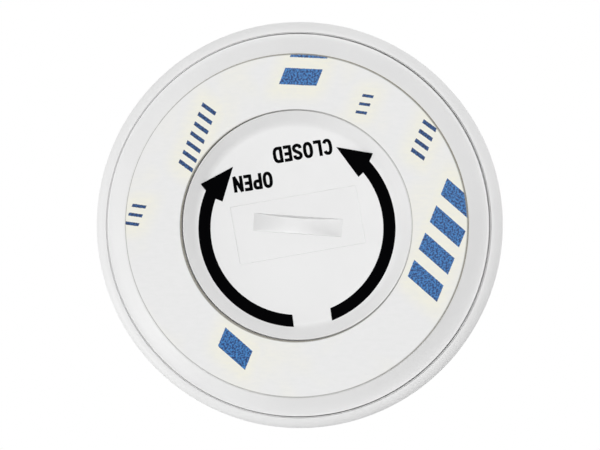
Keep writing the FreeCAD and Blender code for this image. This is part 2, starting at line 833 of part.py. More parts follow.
def switch_plunger():
    """The switch's plunger, behind the pin hole."""
    length = PLUNGER_BURIED + PLUNGER_PROUD
    middle = switch_face() + (PLUNGER_PROUD - PLUNGER_BURIED) / 2
    plunger = block(length, PLUNGER_HEIGHT, PLUNGER_WIDTH, middle, switch_y - PLUNGER_HEIGHT / 2)
    return placed(plunger, SWITCH_ANGLE)


def flash_memory():
    """The memory chip, with a row of leads on each long side."""
    length, height, width = MEMORY_SIZE
    body = on_board(MEMORY_SIZE, MEMORY_PLACE)
    leads = []
    for index in range(MEMORY_LEAD_COUNT):
        shift = (index - (MEMORY_LEAD_COUNT - 1) / 2) * MEMORY_LEAD_PITCH
        lead = (MEMORY_LEAD_WIDTH, MEMORY_LEAD_THICKNESS, width + 2 * MEMORY_LEAD_REACH)
        leads.append(on_board(lead, (MEMORY_PLACE[0] + shift, MEMORY_PLACE[1])))
    return joined(body, *leads)


def inductor():
    """The power inductor, a low block with cut corners."""
    can = on_board((INDUCTOR_SIDE, INDUCTOR_HEIGHT, INDUCTOR_SIDE), INDUCTOR_PLACE)
    return can.makeChamfer(INDUCTOR_CORNER, upright_edges(can))


def passives(height, row):
    """A row of like small parts, as a group."""
    parts = []
    for index in range(PASSIVE_COUNT):
        place = (row[0] + index * PASSIVE_PITCH, row[1])
        parts.append(on_board((PASSIVE_WIDTH, height, PASSIVE_LENGTH), place))
    return Part.makeCompound(parts)


def write_node(name, shape):
    """Write one node's solids to its own STEP file."""
    shape.exportStep("parts/" + name + ".step")
    print(name, len(shape.Solids), round(shape.Volume, 3))


def main():
    """Make every node and write it."""
    write_node("release_liner", release_liner())
    write_node("adhesive_pad", adhesive_pad())
    write_node("rear_cover", rear_cover())
    write_node("front_shell", front_shell())
    write_node("battery_door", battery_door())
    write_node("cell_can", cell_can())
    write_node("cell_gasket", cell_gasket())
    write_node("cell_cap", cell_cap())
    write_node("battery_holder", battery_holder())
    write_node("positive_contacts", positive_contacts())
    write_node("negative_contact", negative_contact())
    write_node("main_board", main_board())
    write_node("board_screws", board_screws())
    write_node("humidity_sensor", humidity_sensor())
    write_node("vent_membrane", vent_membrane())
    write_node("status_led", status_led())
    write_node("light_pipe", light_pipe())
    write_node("switch_body", switch_body())
    write_node("switch_plunger", switch_plunger())
    write_node("radio_board", radio_board())
    write_node("radio_chip", radio_chip())
    write_node("radio_shield", radio_shield())
    write_node("chip_antenna", chip_antenna())
    write_node("crystal", on_board(CRYSTAL_SIZE, CRYSTAL_PLACE))
    write_node("flash_memory", flash_memory())
    write_node("tantalum_capacitor", on_board(TANTALUM_SIZE, TANTALUM_PLACE))
    write_node("inductor", inductor())
    write_node("ceramic_capacitors", passives(CAPACITOR_HEIGHT, CAPACITOR_ROW))
    write_node("chip_resistors", passives(RESISTOR_HEIGHT, RESISTOR_ROW))


main()
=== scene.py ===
import logging
import math
from dataclasses import dataclass, field
from enum import Enum
from typing import Callable, Dict, List, Optional, Sequence, Tuple, Union

import bmesh
import bpy
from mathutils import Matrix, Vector
from mathutils.geometry import delaunay_2d_cdt


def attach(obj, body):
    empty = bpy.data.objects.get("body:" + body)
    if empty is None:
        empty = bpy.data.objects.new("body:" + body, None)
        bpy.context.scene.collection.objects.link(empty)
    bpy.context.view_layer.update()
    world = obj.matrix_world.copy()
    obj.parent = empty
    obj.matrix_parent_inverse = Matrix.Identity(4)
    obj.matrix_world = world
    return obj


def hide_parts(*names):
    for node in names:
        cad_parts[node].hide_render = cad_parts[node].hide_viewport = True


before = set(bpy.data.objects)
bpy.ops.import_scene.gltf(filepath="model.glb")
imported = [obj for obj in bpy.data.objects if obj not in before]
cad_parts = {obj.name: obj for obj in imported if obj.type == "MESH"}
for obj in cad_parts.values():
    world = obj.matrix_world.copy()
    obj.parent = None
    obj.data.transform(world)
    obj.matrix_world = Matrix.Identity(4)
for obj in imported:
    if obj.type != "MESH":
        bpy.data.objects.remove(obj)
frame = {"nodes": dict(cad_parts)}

# Looks of a round temperature and humidity sensor that is stuck to a wall by its back.
# Sizes are millimetres and become metres where a mesh or a material is made. The sensor's
# axis is Y and its back faces -Y. A flat place on its back is given as (x, z), as someone
# who looks at the back sees it: x to the right and z up. Angles run anticlockwise there.

MM = 0.001

# How finely rings, thin posts, ovals and smooth strokes are divided
SEGMENTS = 256
POST_SEGMENTS = 40
BOW_STEPS = 28
EASE_STEPS = 5

# How near the axis or each other places count as one, the last in metres
ON_AXIS = 1e-6
SAME_PLACE = 1e-7
WELD = 1e-8

# The least corner of an outline, how squarish an oval is, and how rough a cloudy pattern is
LEAST_CORNER = 1e-4
SQUARENESS = 0.8
CLOUD_ROUGHNESS = 0.55

# Where the case's hooks lie, and the door's lugs when it is closed
HOOK_ANGLES = (22.0, 112.0, 202.0, 292.0)
LUG_ANGLES = (75.0, 195.0, 315.0)

# The curve between a screen's colour codes and light: straight below the knee, a power above it
CODE_KNEE = 0.04045
CODE_SLOPE = 12.92
CODE_LIFT = 0.055
CODE_POWER = 2.4

log = logging.getLogger("sensor")

Span = Tuple[float, float]
Flat = Tuple[float, float]
Point = Tuple[float, float, float]
Colour = Tuple[float, float, float, float]
Face = Sequence[int]


def linear(code: str) -> Colour:
    """Turn a colour code into linear light.

    Args:
        code: Six hexadecimal digits, two each for red, green and blue.

    Returns:
        The colour's four linear channels, with full alpha.
    """
    channels = []
    for start in (0, 2, 4):
        value = int(code[start:start + 2], 16) / 255
        bent = ((value + CODE_LIFT) / (1 + CODE_LIFT)) ** CODE_POWER
        channels.append(value / CODE_SLOPE if value <= CODE_KNEE else bent)
    return channels[0], channels[1], channels[2], 1.0


def scaled(code: str, factor: float) -> Colour:
    """A colour code's light, made darker by a factor."""
    red, green, blue, alpha = linear(code)
    return red * factor, green * factor, blue * factor, alpha


# Shader expressions
class Wire:
    """An output socket that takes part in Python expressions."""

    def __init__(self, sheet: "Sheet", socket: bpy.types.NodeSocket) -> None:
        """Keep the socket and the sheet that it belongs to."""
        self.sheet = sheet
        self.socket = socket

    def math(self, operation: str, first: "Value", second: "Value" = 0.0) -> "Wire":
        """Put one or two values through a Math node.

        Args:
            operation: The Math node's operation.
            first: The first value.
            second: The second value, where the operation has one.

        Returns:
            The result.
        """
        return self.sheet.node("ShaderNodeMath", {"operation": operation}, {0: first, 1: second})

    def __add__(self, other: "Value") -> "Wire":
        """Add."""
        return self.math("ADD", self, other)

    def __sub__(self, other: "Value") -> "Wire":
        """Subtract."""
        return self.math("SUBTRACT", self, other)

    def __rsub__(self, other: "Value") -> "Wire":
        """Subtract from a number."""
        return self.math("SUBTRACT", other, self)

    def __mul__(self, other: "Value") -> "Wire":
        """Multiply."""
        return self.math("MULTIPLY", self, other)

    def __truediv__(self, other: "Value") -> "Wire":
        """Divide."""
        return self.math("DIVIDE", self, other)

    def __rtruediv__(self, other: "Value") -> "Wire":
        """Divide a number."""
        return self.math("DIVIDE", other, self)

    def __abs__(self) -> "Wire":
        """The size without the sign."""
        return self.math("ABSOLUTE", self)

    __radd__ = __add__
    __rmul__ = __mul__

    def folded(self, half_pitch: float) -> "Wire":
        """The distance to the nearest whole multiple of a pitch."""
        return self.math("PINGPONG", self, half_pitch)

    def most(self, other: "Value") -> "Wire":
        """The larger of two values."""
        return self.math("MAXIMUM", self, other)

    def ramp(self, low: float, high: float, start: float = 0.0, end: float = 1.0) -> "Wire":
        """A smooth step.

        Args:
            low: Where the step starts.
            high: Where it ends. It may be the lower number.
            start: The result up to the step's start.
            end: The result from its end.

        Returns:
            The step.
        """
        limits = {"Value": self, "From Min": low, "From Max": high, "To Min": start, "To Max": end}
        return self.sheet.node("ShaderNodeMapRange", {"interpolation_type": "SMOOTHSTEP"}, limits)


Value = Union[Wire, float, str, Sequence[float]]


class Sheet:
    """The nodes of a material, or of the world, under construction."""

    def __init__(self, owner: bpy.types.ID, output: str = "ShaderNodeOutputMaterial") -> None:
        """Clear the owner's nodes and add the output node.

        Args:
            owner: The material or the world.
            output: The output node's type.
        """
        owner.use_nodes = True
        self.owner = owner
        self.nodes = owner.node_tree.nodes
        self.nodes.clear()
        self.output = self.nodes.new(output)

    def feed(self, socket: bpy.types.NodeSocket, value: Value) -> None:
        """Fill an input socket.

        Args:
            socket: The socket.
            value: The wire that is linked to it, or the number, place or colour code it gets.
        """
        if isinstance(value, Wire):
            self.owner.node_tree.links.new(value.socket, socket)
        else:
            socket.default_value = linear(value) if isinstance(value, str) else value

    def node(
        self,
        kind: str,
        settings: Optional[Dict[str, str]] = None,
        inputs: Optional[Dict[Union[int, str], Value]] = None,
        output: Union[int, str] = 0,
    ) -> Wire:
        """Add a node.

        Args:
            kind: The node's type.
            settings: The node's own properties, which are set first.
            inputs: The values or links of its sockets, by index or name.
            output: The socket that the result comes from.

        Returns:
            The chosen output.
        """
        made = self.nodes.new(kind)
        for name, value in (settings or {}).items():
            setattr(made, name, value)
        for key, value in (inputs or {}).items():
            self.feed(made.inputs[key], value)
        return Wire(self, made.outputs[output])

    def place(self, kind: str = "Object") -> Wire:
        """The surface point in the sensor's own frame, or in another kind of coordinates."""
        return self.node("ShaderNodeTexCoord", output=kind)

    def part(self, place: Wire, letter: str) -> Wire:
        """One coordinate of a place."""
        return self.node("ShaderNodeSeparateXYZ", inputs={0: place}, output=letter)

    def axis(self, letter: str) -> Wire:
        """One coordinate of the surface point, in millimetres."""
        return self.part(self.place(), letter) / MM

    def radius(self, letters: str, middle: Flat) -> Wire:
        """The distance of the surface point from a middle on two axes, in millimetres."""
        across, up = (self.axis(letter) - value for letter, value in zip(letters, middle))
        return across.math("SQRT", across * across + up * up)

    def noise(self, size: float, detail: float = 2.0, stretch: Point = (1.0, 1.0, 1.0)) -> Wire:
        """A cloudy pattern.

        Args:
            size: The size of a patch in millimetres.
            detail: How many finer layers are added.
            stretch: How many times longer patches are along each axis.

        Returns:
            The pattern, around 0.5.
        """
        factors = {0: self.place(), 1: tuple(1 / value for value in stretch)}
        place = self.node("ShaderNodeVectorMath", {"operation": "MULTIPLY"}, factors)
        scale = 1 / (size * MM)
        inputs = {"Vector": place, "Scale": scale, "Detail": detail, "Roughness": CLOUD_ROUGHNESS}
        return self.node("ShaderNodeTexNoise", {}, inputs)

    def cells(self, size: float) -> Wire:
        """The distance to the nearest of scattered points, about a size in millimetres apart."""
        return self.node("ShaderNodeTexVoronoi", {}, {"Vector": self.place(), "Scale": 1 / (size * MM)})

    def mix(self, factor: Value, low: Value, high: Value) -> Wire:
        """Blend two colours."""
        # The sockets go by index, as several of the node's share a name
        return self.node("ShaderNodeMix", {"data_type": "RGBA"}, {0: factor, 6: low, 7: high}, 2)

    def bump(self, height: Wire, depth: float) -> Wire:
        """Relief whose full height is a depth in millimetres."""
        return self.node("ShaderNodeBump", {}, {"Distance": depth * MM, "Height": height})

    def surface(self, inputs: Dict[str, Value], kind: str = "ShaderNodeBsdfPrincipled") -> None:
        """Finish with one shader.

        Args:
            inputs: The values or links of the shader's sockets.
            kind: The shader's type.
        """
        self.feed(self.output.inputs["Surface"], self.node(kind, {}, inputs))


# Finishes. A range is where a ramp starts and ends. A share is how strongly one colour covers
# another, a shade how light a darker tone of a colour stays, and a dulling how much rougher a
# pattern makes the surface. A depth or relief is how high its bumps stand, in millimetres.
@dataclass(frozen=True)
class Finish:
    """A finish with a name."""

    name: str

    def paint(self, sheet: Sheet) -> None:
        """Lay the finish's nodes on a sheet."""
        raise NotImplementedError

    def material(self) -> bpy.types.Material:
        """Make the finish's material.

        Returns:
            The material.
        """
        sheet = Sheet(bpy.data.materials.new(self.name))
        self.paint(sheet)
        return sheet.owner


@dataclass(frozen=True)
class Moulded(Finish):
    """Moulded plastic with an even spark-eroded grain, a faint flow of tone and dull spots."""

    colour: str = "ECECEC"
    roughness: float = 0.5
    grain: float = 0.16
    grain_depth: float = 0.004
    flow: float = 0.03
    flow_size: float = 11.0
    spot_size: float = 1.7
    gloss: float = 0.5
    flow_range: Span = (0.3, 0.7)
    spot_range: Span = (0.62, 0.78)
    spot_share: float = 0.25
    spot_shade: float = 0.94
    grain_dulling: float = 0.14
    spot_dulling: float = 0.05

    def paint(self, sheet: Sheet) -> None:
        """Lay the plastic's tone, grain and dull spots.

        Args:
            sheet: The sheet for the finish's nodes.
        """
        flow = sheet.noise(self.flow_size, detail=3.0).ramp(*self.flow_range)
        grain = sheet.noise(self.grain)
        spots = sheet.noise(self.spot_size, detail=4.0).ramp(*self.spot_range)
        tone = sheet.mix(flow, scaled(self.colour, 1 - self.flow), self.colour)
        dull = scaled(self.colour, self.spot_shade)
        uneven = (grain - 0.5) * self.grain_dulling
        sheet.surface({
            "Base Color": sheet.mix(spots * self.spot_share, tone, dull),
            "Roughness": self.roughness + uneven + spots * self.spot_dulling,
            "Specular IOR Level": self.gloss,
            "Normal": sheet.bump(grain, self.grain_depth),
        })


class Tone(Enum):
    """The two inks of the liner's print."""

    BOLD = "002E66"
    FINE = "152C58"


@dataclass(frozen=True)
class MarkRow:
    """A row of slanted bars on the liner."""

    tone: Tone
    angle: float
    across: float
    start: float
    count: int
    pitch: float
    width: float
    height: float
    slant: float = 0.35
    blur: float = 0.04
    halo_start: float = -0.5
    halo_end: float = 3.0

    def paint(self, x: Wire, z: Wire, rough: Wire) -> Tuple[Wire, Wire]:
        """Lay the row's masks.

        Args:
            x: The place across, in millimetres.
            z: The place upwards, in millimetres.
            rough: A fine pattern that makes the bars' edges ragged.

        Returns:
            The mask of the bars, and a soft mask of the paper round them.
        """
        turn = math.radians(self.angle)
        aside = z * math.cos(turn) - x * math.sin(turn) - self.across
        along = x * math.cos(turn) + z * math.sin(turn) - self.start - aside * self.slant
        shift = 0.0 if self.count % 2 else self.pitch / 2
        bar = (along + shift).folded(self.pitch / 2) + rough
        beyond_run = abs(along) - self.count * self.pitch / 2
        beyond_band = abs(aside) - self.height / 2 + rough
        bars = bar.ramp(self.width / 2 + self.blur, self.width / 2 - self.blur)
        run = beyond_run.ramp(self.blur / 2, -self.blur / 2)
        band = beyond_band.ramp(self.blur, -self.blur)
        near = [beyond.ramp(self.halo_end, self.halo_start) for beyond in (beyond_run, beyond_band)]
        return bars * run * band, near[0] * near[1]


@dataclass(frozen=True)
class PrintedLiner(Finish):
    """Release paper with a worn two-tone print, and a grey line of painted shade along its cut edges."""

    rows: Tuple[MarkRow, ...] = ()
    inner: float = 17.0
    outer: float = 25.25
    middle: Flat = (0.0, 0.0)
    paper: str = "F1F1F1"
    cream: str = "F7F5E6"
    thread: str = "EAEBEA"
    worn_bold: str = "3880C4"
    worn_fine: str = "3A6CA8"
    # The grey of the painted shade along the cut edges
    cut: str = "93938F"
    fibre_size: float = 0.5
    fibre_stretch: Point = (3.0, 1.0, 1.0)
    fibre_range: Span = (0.3, 0.75)
    fibre_share: float = 0.35
    rag_size: float = 0.22
    rag: float = 0.16
    speckle_size: float = 0.28
    speckle_range: Span = (0.38, 0.62)
    fine_wear: float = 0.6
    cream_size: float = 12.0
    cream_range: Span = (0.45, 0.7)
    cream_share: float = 0.5
    halo_share: float = 0.9
    # How far in from each cut edge the painted shade starts and ends
    inner_edge_shade: Span = (0.12, 0.06)
    outer_edge_shade: Span = (0.15, 0.08)
    edge_shade_share: float = 0.6
    roughness: float = 0.5
    fibre_dulling: float = 0.1
    ink_polish: float = 0.08
    gloss: float = 0.2
    fibre_relief: float = 0.6
    wave_relief: float = 0.4
    wave_size: float = 6.0
    relief: float = 0.01

    def paint(self, sheet: Sheet) -> None:
        """Lay the paper, the painted shade along its cut edges, and the print.

        Args:
            sheet: The sheet for the finish's nodes.
        """
        x = sheet.axis("X")
        z = sheet.axis("Z")
        fibre = sheet.noise(self.fibre_size, 3.0, self.fibre_stretch)
        rough = (sheet.noise(self.rag_size) - 0.5) * self.rag
        masks: Dict[Tone, Value] = {Tone.BOLD: 0.0, Tone.FINE: 0.0}
        near: Value = 0.0
        for row in self.rows:
            mask, halo = row.paint(x, z, rough)
            near = halo.most(near)
            masks[row.tone] = mask.most(masks[row.tone])
        speckle = sheet.noise(self.speckle_size, detail=1.0).ramp(*self.speckle_range)
        cream = sheet.noise(self.cream_size).ramp(*self.cream_range) * self.cream_share
        tone = sheet.mix(cream.most(near * self.halo_share), self.paper, self.cream)
        tone = sheet.mix(fibre.ramp(*self.fibre_range) * self.fibre_share, tone, self.thread)
        bold = sheet.mix(speckle, Tone.BOLD.value, self.worn_bold)
        tone = sheet.mix(masks[Tone.BOLD], tone, bold)
        fine = sheet.mix(speckle * self.fine_wear, Tone.FINE.value, self.worn_fine)
        tone = sheet.mix(masks[Tone.FINE], tone, fine)
        radius = sheet.radius("XZ", self.middle)
        # Painted shade: a grey line along the inner and outer cut edges
        inner_edge = radius.ramp(*(self.inner + depth for depth in self.inner_edge_shade))
        edge = radius.ramp(*(self.outer - depth for depth in self.outer_edge_shade)).most(inner_edge)
        dulling = (fibre - 0.5) * self.fibre_dulling
        polish = masks[Tone.BOLD] * self.ink_polish
        waves = sheet.noise(self.wave_size) * self.wave_relief
        sheet.surface({
            "Base Color": sheet.mix(edge * self.edge_shade_share, tone, self.cut),
            "Roughness": self.roughness + dulling - polish,
            "Specular IOR Level": self.gloss,
            "Normal": sheet.bump(fibre * self.fibre_relief + waves, self.relief),
        })


@dataclass(frozen=True)
class Foam(Finish):
    """Closed-cell foam tape whose cut sides show small pores."""

    # A grey-brown that is partly the tape's own tone and partly painted shade, darkened so that its edge
    # beside the liner shows as the dark band of shadow there
    colour: str = "A9A59A"
    pore_size: float = 0.14
    pore_range: Span = (0.25, 0.6)
    pore_shade: float = 0.7
    pore_depth: float = 0.03
    roughness: float = 0.72
    dulling: float = 0.15
    gloss: float = 0.3

    def paint(self, sheet: Sheet) -> None:
        """Lay the foam's body and the darker pores in it.

        Args:
            sheet: The sheet for the finish's nodes.
        """
        wall = sheet.cells(self.pore_size).ramp(*self.pore_range)
        sheet.surface({
            "Base Color": sheet.mix(wall, scaled(self.colour, self.pore_shade), self.colour),
            "Roughness": self.roughness + wall * self.dulling,
            "Specular IOR Level": self.gloss,
            "Normal": sheet.bump(wall, self.pore_depth),
        })


@dataclass(frozen=True)
class PadInk(Finish):
    """Pad-printed ink with a soft satin skin and a few pinholes."""

    colour: str = "010102"
    pinhole: str = "5A5A5C"
    hole_size: float = 0.12
    hole_range: Span = (0.74, 0.82)
    hole_share: float = 0.4
    roughness: float = 0.6
    dulling: float = 0.2
    gloss: float = 0.01
    grain: float = 0.16
    grain_depth: float = 0.003

    def paint(self, sheet: Sheet) -> None:
        """Lay the ink and the tiny lighter pinholes in it.

        Args:
            sheet: The sheet for the finish's nodes.
        """
        hole = sheet.noise(self.hole_size).ramp(*self.hole_range)
        sheet.surface({
            "Base Color": sheet.mix(hole * self.hole_share, self.colour, self.pinhole),
            "Roughness": self.roughness + hole * self.dulling,
            "Specular IOR Level": self.gloss,
            "Normal": sheet.bump(sheet.noise(self.grain), self.grain_depth),
        })


@dataclass(frozen=True)
class Metal(Finish):
    """Rolled or plated metal with fine lines and a breath of tarnish."""

    colour: str = "B9BABB"
    roughness: float = 0.3
    lines: Point = (12.0, 1.0, 1.0)
    tarnish: str = "8C8A84"
    line_size: float = 0.12
    patch_size: float = 2.6
    patch_range: Span = (0.5, 0.75)
    patch_share: float = 0.5
    patch_dulling: float = 0.12
    line_dulling: float = 0.2
    line_depth: float = 0.003

    def paint(self, sheet: Sheet) -> None:
        """Lay the metal's lines and its duller patches.

        Args:
            sheet: The sheet for the finish's nodes.
        """
        line = sheet.noise(self.line_size, 3.0, self.lines)
        patch = sheet.noise(self.patch_size, detail=3.0).ramp(*self.patch_range)
        uneven = (line - 0.5) * self.line_dulling
        sheet.surface({
            "Base Color": sheet.mix(patch * self.patch_share, self.colour, self.tarnish),
            "Metallic": 1.0,
            "Roughness": self.roughness + uneven + patch * self.patch_dulling,
            "Normal": sheet.bump(line, self.line_depth),
        })


@dataclass(frozen=True)
class Laminate(Finish):
    """A circuit board: glass weave and copper tracks under solder mask."""

    mask: str = "1E6B45"
    copper: str = "2C8257"
    plating: str = "C9B27A"
    track_pitch: float = 1.8
    weave_pitch: float = 0.5
    via_spread: float = 1.9
    bend: float = 5.0
    bend_size: float = 7.0
    track_edge: Span = (0.22, 0.14)
    patch_size: float = 5.0
    patch_range: Span = (0.46, 0.5)
    via_edge: Span = (0.17, 0.13)
    via_shine: float = 0.8
    weave_share: float = 0.12
    weave_shade: float = 0.7
    weave_dulling: float = 0.08
    roughness: float = 0.36
    copper_relief: float = 0.7
    weave_relief: float = 0.2
    relief: float = 0.03

    def paint(self, sheet: Sheet) -> None:
        """Lay the tracks, the vias and the weave below the mask.

        Args:
            sheet: The sheet for the finish's nodes.
        """
        x, z = sheet.axis("X"), sheet.axis("Z")
        bend = (sheet.noise(self.bend_size, detail=1.0) - 0.5) * self.bend
        track = (x + bend).folded(self.track_pitch / 2).ramp(*self.track_edge)
        copper = track * sheet.noise(self.patch_size, detail=1.0).ramp(*self.patch_range)
        via = sheet.cells(self.via_spread).ramp(*self.via_edge)
        half = self.weave_pitch / 2
        weave = x.folded(half) * z.folded(half) / half ** 2
        tone = sheet.mix(via, sheet.mix(copper, self.mask, self.copper), self.plating)
        shade = scaled(self.mask, self.weave_shade)
        height = copper * self.copper_relief + weave * self.weave_relief
        sheet.surface({
            "Base Color": sheet.mix(weave * self.weave_share, tone, shade),
            "Metallic": via * self.via_shine,
            "Roughness": self.roughness + weave * self.weave_dulling,
            "Normal": sheet.bump(height, self.relief),
        })


@dataclass(frozen=True)
class Grainy(Finish):
    """A fired or cast body with a fine granular skin, as on small electrical parts."""

    colour: str = "26272A"
    speck: str = "4A4B4F"
    roughness: float = 0.5
    size: float = 0.1
    speck_range: Span = (0.35, 0.7)
    patch_size: float = 1.4
    grain_middle: float = 0.4
    grain_dulling: float = 0.15
    grain_depth: float = 0.006

    def paint(self, sheet: Sheet) -> None:
        """Lay the body and its specks.

        Args:
            sheet: The sheet for the finish's nodes.
        """
        grain = sheet.cells(self.size)
        specks = grain.ramp(*self.speck_range) * sheet.noise(self.patch_size)
        sheet.surface({
            "Base Color": sheet.mix(specks, self.colour, self.speck),
            "Roughness": self.roughness + (grain - self.grain_middle) * self.grain_dulling,
            "Normal": sheet.bump(grain, self.grain_depth),
        })


@dataclass(frozen=True)
class EndCapped(Finish):
    """A small ceramic part of a row, with tinned ends."""

    colour: str = "B48A5A"
    row: float = 0.0
    half_body: float = 0.45
    tin: str = "C4C5C6"
    blur: float = 0.03
    grain: float = 0.1
    grain_shade: float = 0.8
    grain_dulling: float = 0.2
    grain_depth: float = 0.006
    roughness: float = 0.5
    end_polish: float = 0.15

    def paint(self, sheet: Sheet) -> None:
        """Lay the ceramic body and the tinned ends of each part in the row.

        Args:
            sheet: The sheet for the finish's nodes.
        """
        aside = abs(sheet.axis("Z") - self.row)
        end = aside.ramp(self.half_body - self.blur, self.half_body + self.blur)
        grain = sheet.noise(self.grain)
        ceramic = sheet.mix(grain, scaled(self.colour, self.grain_shade), self.colour)
        uneven = (grain - 0.5) * self.grain_dulling
        sheet.surface({
            "Base Color": sheet.mix(end, ceramic, self.tin),
            "Metallic": end,
            "Roughness": self.roughness - end * self.end_polish + uneven,
            "Normal": sheet.bump(grain, self.grain_depth),
        })


@dataclass(frozen=True)
class Clear(Finish):
    """Clear plastic with a slightly frosted skin."""

    colour: str = "F2F5F7"
    bending: float = 1.49
    frost_size: float = 0.2
    frost_shade: float = 0.95
    frost_dulling: float = 0.2
    frost_depth: float = 0.004
    roughness: float = 0.18
    clearness: float = 0.85

    def paint(self, sheet: Sheet) -> None:
        """Lay the frosting over a body that light passes through.

        Args:
            sheet: The sheet for the finish's nodes.
        """
        frost = sheet.noise(self.frost_size, detail=3.0)
        sheet.surface({
            "Base Color": sheet.mix(frost, scaled(self.colour, self.frost_shade), self.colour),
            "Roughness": self.roughness + frost * self.frost_dulling,
            "Transmission Weight": self.clearness,
            "IOR": self.bending,
            "Normal": sheet.bump(frost, self.frost_depth),
        })


@dataclass(frozen=True)
class Woven(Finish):
    """A breathable film backed by a fine plain weave."""

    colour: str = "E9E9E6"
    pitch: float = 0.18
    pore_range: Span = (0.55, 0.85)
    pore_shade: float = 0.55
    pore_dulling: float = 0.1
    roughness: float = 0.8
    thread_depth: float = 0.03

    def paint(self, sheet: Sheet) -> None:
        """Lay the crossing threads and the dark pores between them.

        Args:
            sheet: The sheet for the finish's nodes.
        """
        over, under = (sheet.axis(letter).folded(self.pitch / 2) / self.pitch * 2 for letter in "XY")
        pore = (over * under).ramp(*self.pore_range)
        sheet.surface({
            "Base Color": sheet.mix(pore, self.colour, scaled(self.colour, self.pore_shade)),
            "Roughness": self.roughness + pore * self.pore_dulling,
            "Normal": sheet.bump(1 - pore, self.thread_depth),
        })


# Mesh helpers
def polar(radius: float, angle: float) -> Flat:
    """The flat place at a radius and an angle in degrees."""
    turn = math.radians(angle)
    return radius * math.cos(turn), radius * math.sin(turn)


def arc(start: Flat, end: Flat, centre: Flat, steps: int) -> List[Flat]:
    """Points along the short arc between two places.

    Args:
        start: The first place, which isn't repeated.
        end: The last place.
        centre: The arc's centre.
        steps: How many pieces the arc has.

    Returns:
        The points after the start, with the end.
    """
    first = (start[0] - centre[0], start[1] - centre[1])
    last = (end[0] - centre[0], end[1] - centre[1])
    turn = math.atan2(first[0] * last[1] - first[1] * last[0], first[0] * last[0] + first[1] * last[1])
    points = []
    for index in range(1, steps):
        angle = turn * index / steps
        points.append((
            centre[0] + first[0] * math.cos(angle) - first[1] * math.sin(angle),
            centre[1] + first[0] * math.sin(angle) + first[1] * math.cos(angle),
        ))
    return points + [end]


def swept(start: Flat, end: Flat, steps: int) -> List[Flat]:
    """Points along the arc that leaves its start level.

    Args:
        start: The first place, which isn't repeated.
        end: The last place.
        steps: How many pieces the arc has.

    Returns:
        The points after the start, with the end.
    """
    rise = end[1] - start[1]
    run = end[0] - start[0]
    return arc(start, end, (start[0], start[1] + (run ** 2 + rise ** 2) / (2 * rise)), steps)


@dataclass(frozen=True)
class Corner:
    """A corner of a profile: its radius, its depth and how far it is rounded."""

    radius: float
    depth: float
    round: float = 0.0


def soften(
    corners: Sequence[Corner], steps: int = 6, support: float = 0.06, spare: float = 4.0
) -> List[Flat]:
    """Round a closed profile's corners, and hold its long flats straight beside them.

    Args:
        corners: The profile's corners in order.
        steps: How many pieces each rounding has.
        support: How far from a rounding the supporting point lies on the flat.
        spare: How many times as long as the way to that point a long flat is.

    Returns:
        The profile's points.
    """
    points: List[Flat] = []
    count = len(corners)
    for index, corner in enumerate(corners):
        here = Vector((corner.radius, corner.depth))
        if corner.round <= 0:
            points.append((here.x, here.y))
            continue
        before = corners[index - 1]
        after = corners[(index + 1) % count]
        back = Vector((before.radius, before.depth)) - here
        ahead = Vector((after.radius, after.depth)) - here
        half = back.angle(ahead) / 2
        reach = corner.round / math.tan(half)
        middle = back.normalized() + ahead.normalized()
        centre = here + middle.normalized() * (corner.round / math.sin(half))
        start = here + back.normalized() * reach
        end = here + ahead.normalized() * reach
        if back.length > spare * (reach + support):
            held = start + back.normalized() * support
            points.append((held.x, held.y))
        points.append((start.x, start.y))
        points += arc((start.x, start.y), (end.x, end.y), (centre.x, centre.y), steps)
        if ahead.length > spare * (reach + support):
            held = end + ahead.normalized() * support
            points.append((held.x, held.y))
    return points


